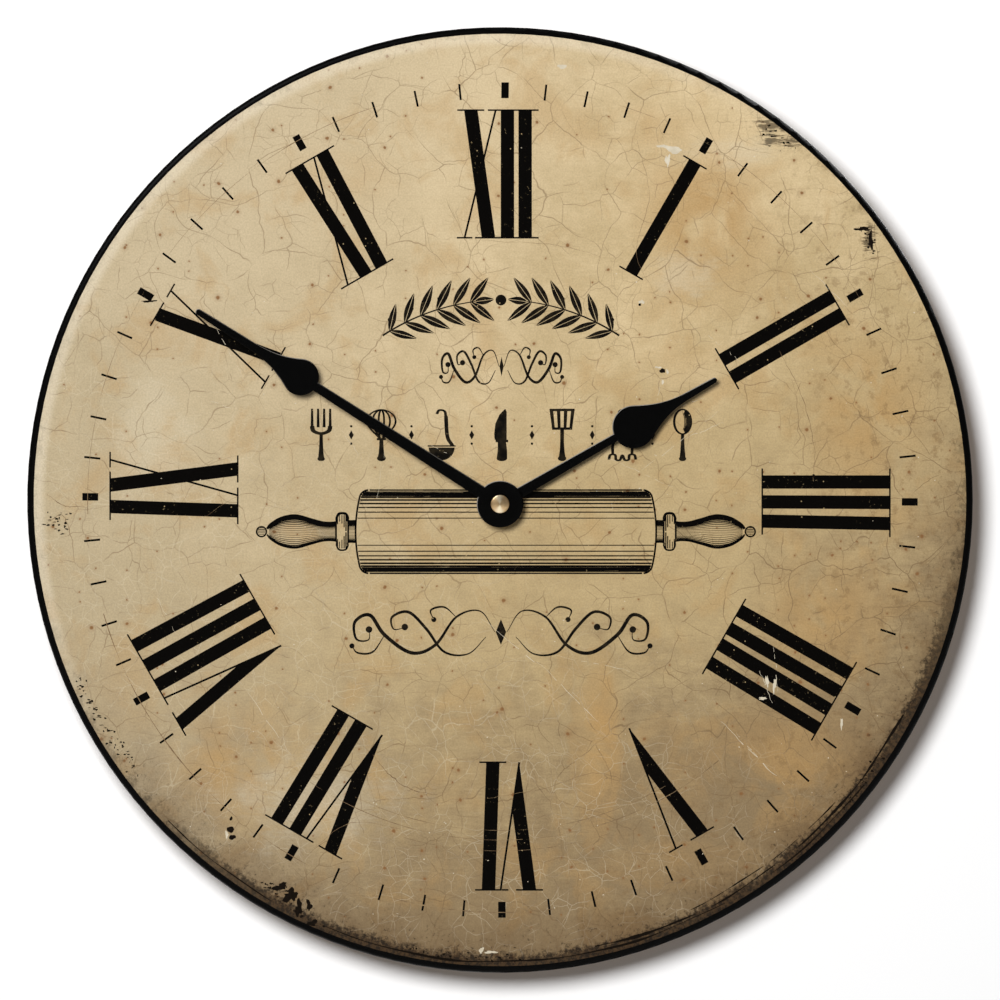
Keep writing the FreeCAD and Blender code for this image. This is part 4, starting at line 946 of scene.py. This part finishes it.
def boardFinish(look):
    # black lacquer in front and on the edge, bare fibreboard behind, nicked where they meet
    finish = Finish("dialBoard", rough=0.4)
    where = finish.point()
    split = finish.node("ShaderNodeSeparateXYZ", None, {0: where})
    depth = split.output("Y")
    back = boardHigh.y / mm
    nicks = finish.noise(where, look["nickSize"], 5.0, 0.65)
    fibre = finish.noise(finish.point((1, 3, 1)), look["fibreSize"], 6.0, 0.75, 1.2)
    blotch = finish.noise(where, look["blotchSize"], 3.0)
    bare = finish.mix(fibre, *look["bare"])
    bare = finish.mix(finish.fade(blotch, 0.35, 0.7) * 0.3, bare, look["blotch"])
    overspray = finish.fade(finish.length(finish.flat()) + 3.0 * (nicks - 0.5), *look["overspray"])
    lacquer = finish.mix(nicks, *look["lacquer"])
    isBack = finish.fade(depth, back - 0.5, back - 0.25) * (1 - 0.85 * overspray)
    worn = finish.fade(nicks, 0.70, 0.76) * finish.fade(finish.noise(where, 9, 2.0), 0.5, 0.62) * 0.5
    bareness = isBack.over(worn)
    height = fibre * 0.5 + nicks * 0.5
    finish.set(colour=finish.mix(bareness, lacquer, bare), rough=0.36 + 0.5 * bareness + 0.1 * (nicks - 0.5),
               normal=finish.bump(height, 0.06), specular=0.05)
    return finish


# the bevel colour is a painted highlight
hands = {
    "lacquer": ((0.0006, 0.0006, 0.0006), (0.0011, 0.0011, 0.0011)), "bevelHighlight": (0.26, 0.245, 0.22),
    "dust": (0.10, 0.095, 0.085), "peelSize": 0.5, "dustSize": 0.9,
}


def lacqueredMetal(look):
    # black lacquer, with a painted highlight on the bevels that face up and left
    finish = Finish("blackLacqueredHands", rough=0.38, metal=0.0)
    where = finish.point()
    peel = finish.noise(where, look["peelSize"], 3.0, 0.55)
    dust = finish.fade(finish.noise(where, look["dustSize"], 6.0, 0.7), 0.68, 0.74) * 0.25
    base = finish.mix(peel, *look["lacquer"])
    # painted highlight: bevels that face up and left get a pale colour, as if catching the lamp
    facing = finish.node("ShaderNodeNewGeometry", output="Normal")
    facing = finish.node("ShaderNodeSeparateXYZ", None, {0: facing})
    sloped = finish.fade(facing.output("Y"), -0.97, -0.85)
    bevelHighlight = sloped * finish.fade(facing.output("Z") - facing, -0.1, 0.9)
    base = finish.mix(bevelHighlight, base, look["bevelHighlight"])
    finish.set(colour=finish.mix(dust, base, look["dust"]), rough=0.30 + 0.22 * peel + 0.3 * dust,
               normal=finish.bump(peel, 0.012), specular=0.05)
    return finish


# the beam colour is a painted highlight
brass = {"valley": (0.62, 0.40, 0.19), "ridge": (0.84, 0.62, 0.35), "highlightBand": (0.98, 0.84, 0.60),
         "tarnish": (0.30, 0.17, 0.07), "ringSize": 0.16}


def turnedBrass(name, tarnish, look=brass):
    # lathe rings about the hands' axis, so the light spreads across them, and a painted highlight in an
    # upright band
    finish = Finish(name, metal=1.0, rough=0.3)
    where = finish.flat(0.0)
    radius = finish.length(where)
    rings = finish.node("ShaderNodeCombineXYZ", None, {0: radius})
    cut = finish.noise(rings, look["ringSize"], 3.0, 0.6)
    swirl = finish.noise(where, 0.9, 4.0, 0.6)
    stain = finish.fade(finish.noise(finish.point(), 2.4, 4.0, 0.6), 0.45, 0.75) * tarnish
    # painted highlight: a bright upright band through the middle of the face
    across = finish.node("ShaderNodeSeparateXYZ", None, {0: where}) / radius
    highlightBand = finish.fade((across + 0.1).size(), 0.75, 0.1)
    base = finish.mix(cut, look["valley"], look["ridge"])
    base = finish.mix(highlightBand, base, look["highlightBand"])
    base = finish.mix(stain, base, look["tarnish"])
    finish.set(colour=base, rough=0.26 + 0.16 * swirl + 0.25 * stain, normal=finish.bump(cut, 0.035))
    return finish


print("board, hands and nut")
paint(boardFinish(board), "dial_board")
paint(lacqueredMetal(hands), "hour_hand", "minute_hand")
paint(turnedBrass("turnedBrassNut", 0.25), "cap_nut")
paint(turnedBrass("dullBrass", 0.6), "threaded_bushing", "bushing_washer", "hex_nut", "hour_hand_collet",
      "minute_pipe", "cannon_pinion")


# movement
def mouldedPlastic(name, dark, light, grainSize, depth, rough):
    finish = Finish(name, rough=rough)
    where = finish.point()
    grain = finish.noise(where, grainSize, 4.0, 0.6)
    flow = finish.noise(where, 14, 3.0)
    dust = finish.fade(finish.noise(where, 5, 5.0, 0.65), 0.52, 0.8) * 0.22
    base = finish.mix(grain, dark, light)
    base = finish.mix(dust, base, tuple(0.35 * (a + b) + 0.08 for a, b in zip(dark, light)))
    finish.set(colour=base, rough=rough + 0.18 * (flow - 0.5) + 0.25 * dust,
               normal=finish.bump(grain, depth))
    return finish


def platedSteel(name, tint, brush, rough):
    finish = Finish(name, metal=1.0, rough=rough)
    streak = finish.noise(finish.point(brush), 0.8, 4.0, 0.6)
    spangle = finish.noise(finish.point(), 3.5, 3.0)
    base = finish.mix(streak, tuple(0.78 * c for c in tint), tint)
    finish.set(colour=base, rough=rough + 0.14 * (streak - 0.5) + 0.1 * (spangle - 0.5),
               normal=finish.bump(streak, 0.01))
    return finish


winding = {"wire": 0.18, "dark": (0.30, 0.09, 0.03), "light": (0.62, 0.26, 0.10)}


def woundCopper(look):
    finish = Finish("enamelledWinding", metal=0.7, rough=0.35)
    split = finish.node("ShaderNodeSeparateXYZ", None, {0: finish.point()})
    turns = (split * (2 * math.pi / look["wire"])).sine()
    lay = finish.noise(finish.point((4, 1, 1)), 1.6, 3.0)
    base = finish.mix(lay, look["dark"], look["light"])
    finish.set(colour=base, rough=0.28 + 0.2 * lay, normal=finish.bump(turns * 0.5 + lay, 0.05))
    return finish


cell = {"sleeve": (0.012, 0.06, 0.05), "band": (0.62, 0.60, 0.55), "scuff": (0.2, 0.22, 0.22),
        "steel": (0.55, 0.54, 0.52), "bandPlace": (0.20, 0.24)}


def batteryWrap(look):
    # plain wrap: a dark sleeve with a light band near the button end
    finish = Finish("batteryWrap", rough=0.25)
    low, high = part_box("battery_cell")
    split = finish.node("ShaderNodeSeparateXYZ", None, {0: finish.point()})
    along = (split - low.x / mm) / ((high.x - low.x) / mm)
    scuff = finish.noise(finish.point((0.3, 1, 1)), 1.6, 5.0, 0.65)
    start, end = look["bandPlace"]
    band = finish.fade(along, start, start + 0.005) * (1 - finish.fade(along, end - 0.005, end))
    rimEnds = finish.fade((along - 0.5).size(), 0.488, 0.492)
    base = finish.mix(band, look["sleeve"], look["band"])
    base = finish.mix(finish.fade(scuff, 0.62, 0.72) * 0.4, base, look["scuff"])
    base = finish.mix(rimEnds, base, look["steel"])
    finish.set(colour=base, metal=rimEnds, rough=0.24 + 0.2 * scuff, normal=finish.bump(scuff, 0.01))
    return finish


laminate = {"dark": (0.16, 0.085, 0.02), "light": (0.26, 0.15, 0.045), "copper": (0.50, 0.30, 0.14),
            "trackPitch": 2.4166}


def circuitLaminate(look):
    finish = Finish("circuitLaminate", rough=0.5)
    where = finish.point()
    weave = finish.noise(finish.point((1, 1, 5)), 0.5, 4.0)
    split = finish.node("ShaderNodeSeparateXYZ", None, {0: where})
    lines = (split.output("Z") * (2 * math.pi / look["trackPitch"]) + 2.0 * finish.noise(where, 5, 1.0)).sine()
    trace = finish.fade(lines, 0.75, 0.82)
    base = finish.mix(weave, look["dark"], look["light"])
    base = finish.mix(trace, base, look["copper"])
    finish.set(colour=base, rough=0.5 - 0.2 * trace, metal=0.8 * trace,
               normal=finish.bump(trace * 0.6 + weave * 0.3, 0.03))
    return finish


print("movement")
plastics = {  # dark and light tint, grain size, depth, roughness
    "blackMouldedCase": ((0.010, 0.010, 0.011), (0.022, 0.022, 0.023), 0.35, 0.02, 0.52),
    "whiteAcetal": ((0.72, 0.70, 0.64), (0.84, 0.83, 0.78), 1.5, 0.004, 0.34),
    "blackRubber": ((0.012, 0.012, 0.012), (0.03, 0.03, 0.03), 0.5, 0.03, 0.75),
    "sinteredMagnet": ((0.05, 0.048, 0.047), (0.12, 0.115, 0.11), 0.3, 0.02, 0.45),
    "chipResin": ((0.006, 0.006, 0.006), (0.012, 0.012, 0.012), 0.8, 0.01, 0.22),
}
moulded = {name: mouldedPlastic(name, *look) for name, look in plastics.items()}
paint(moulded["blackMouldedCase"], "movement_case", "case_posts", "movement_cover")
paint(moulded["blackRubber"], "rubber_washer")
paint(moulded["whiteAcetal"], "train_plate", "minute_wheel", "centre_wheel", "hour_wheel", "third_wheel",
      "seconds_wheel", "intermediate_wheel", "rotor_pinion", "coil_bobbin", "setting_knob")
paint(platedSteel("zincSteel", (0.62, 0.62, 0.60), (6, 1, 1), 0.36), "hanger", "clutch_ring", "stator",
      "coil_core")
paint(platedSteel("nickelPlate", (0.78, 0.76, 0.72), (1, 1, 4), 0.22), "contact_positive", "contact_negative",
      "quartz_crystal", "battery_button")
paint(moulded["sinteredMagnet"], "rotor_magnet")
paint(woundCopper(winding), "coil_winding", "coil_leads")
paint(circuitLaminate(laminate), "circuit_board")
paint(moulded["chipResin"], "chip_blob")
paint(batteryWrap(cell), "battery_cell")


# studio
studio = {
    "cameraDistance": 2.5, "frameWidth": 0.32247, "sensor": 36.0,
    "keyPlace": (-0.24, -1.5, 0.25), "keySize": 0.42, "keyPower": 25.0,
    "sheenPlace": (-0.62, -0.75, 0.72), "sheenSize": 0.5, "sheenPower": 7.0,
    "backPlace": (0.7, 1.1, 0.8), "backSize": 0.7, "backPower": 22.0,
    "world": 0.16, "floorDrop": 0.10, "wallGap": 0.0004, "stageSize": 6.0,
}


def areaLight(name, place, size, power, aim=(0, 0, 0)):
    light = bpy.data.lights.new(name, "AREA")
    light.shape = "DISK"
    light.size = size
    light.energy = power
    lamp = bpy.data.objects.new(name, light)
    lamp.location = place
    lamp.rotation_euler = (Vector(aim) - Vector(place)).to_track_quat("-Z", "Y").to_euler()
    bpy.context.scene.collection.objects.link(lamp)
    return lamp


def plane(name, corners, material):
    mesh = bpy.data.meshes.new(name)
    mesh.from_pydata(corners, [], [list(range(len(corners)))])
    mesh.materials.append(material)
    sheet = bpy.data.objects.new(name, mesh)
    bpy.context.scene.collection.objects.link(sheet)
    return sheet


def wallFinish():
    # white from the front and clear from behind, so the clock's back can be seen
    finish = Finish("wallPaint", colour=(0.93, 0.93, 0.93), rough=0.9, specular=0.0)
    clear = finish.node("ShaderNodeBsdfTransparent")
    behind = finish.node("ShaderNodeNewGeometry", output="Backfacing")
    front = Signal(finish, finish.surface.outputs[0])
    shown = finish.node("ShaderNodeMixShader", None, {0: behind, 1: front, 2: clear})
    output = finish.tree.nodes["Material Output"]
    finish.tree.links.new(shown.socket, output.inputs["Surface"])
    return finish


print("studio")
far = studio["stageSize"]
low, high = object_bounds()
floorLevel = low.z - studio["floorDrop"]
wallLevel = high.y + studio["wallGap"]
wall = plane("wall", [(-far, wallLevel, floorLevel), (far, wallLevel, floorLevel), (far, wallLevel, far),
                      (-far, wallLevel, far)], wallFinish().material)
wall.visible_diffuse = False
wall.visible_glossy = False
wall.visible_shadow = False
floorPaint = Finish("paleFloor", rough=0.7)
speck = floorPaint.noise(floorPaint.point(), 3.0, 3.0)
floorPaint.set(colour=floorPaint.mix(speck, (0.74, 0.74, 0.73), (0.78, 0.78, 0.77)))
corners = [(-far, -far, floorLevel), (far, -far, floorLevel), (far, far, floorLevel), (-far, far, floorLevel)]
floor = plane("floor", corners, floorPaint.material)
floor.visible_diffuse = False

keyLamp = areaLight("keyLamp", studio["keyPlace"], studio["keySize"], studio["keyPower"])
keyLamp.visible_glossy = False
sheenLamp = areaLight("sheenLamp", studio["sheenPlace"], studio["sheenSize"], studio["sheenPower"])
sheenLamp.visible_diffuse = False
backLamp = areaLight("backLamp", studio["backPlace"], studio["backSize"], studio["backPower"])

world = bpy.data.worlds.new("studioAir")
world.use_nodes = True
world.node_tree.nodes["Background"].inputs["Color"].default_value = (1.0, 1.0, 1.0, 1.0)
world.node_tree.nodes["Background"].inputs["Strength"].default_value = studio["world"]
bpy.context.scene.world = world
bpy.context.scene.view_settings.view_transform = "Standard"

lens = bpy.data.cameras.new("camera")
lens.sensor_width = studio["sensor"]
lens.lens = studio["sensor"] * studio["cameraDistance"] / studio["frameWidth"]
camera = bpy.data.objects.new("camera", lens)
discPlane = (boardLow.y + boardHigh.y) / 2
camera.location = (0, discPlane - studio["cameraDistance"], dialRise)
camera.rotation_euler = (math.pi / 2, 0, 0)
bpy.context.scene.collection.objects.link(camera)
bpy.context.scene.camera = camera
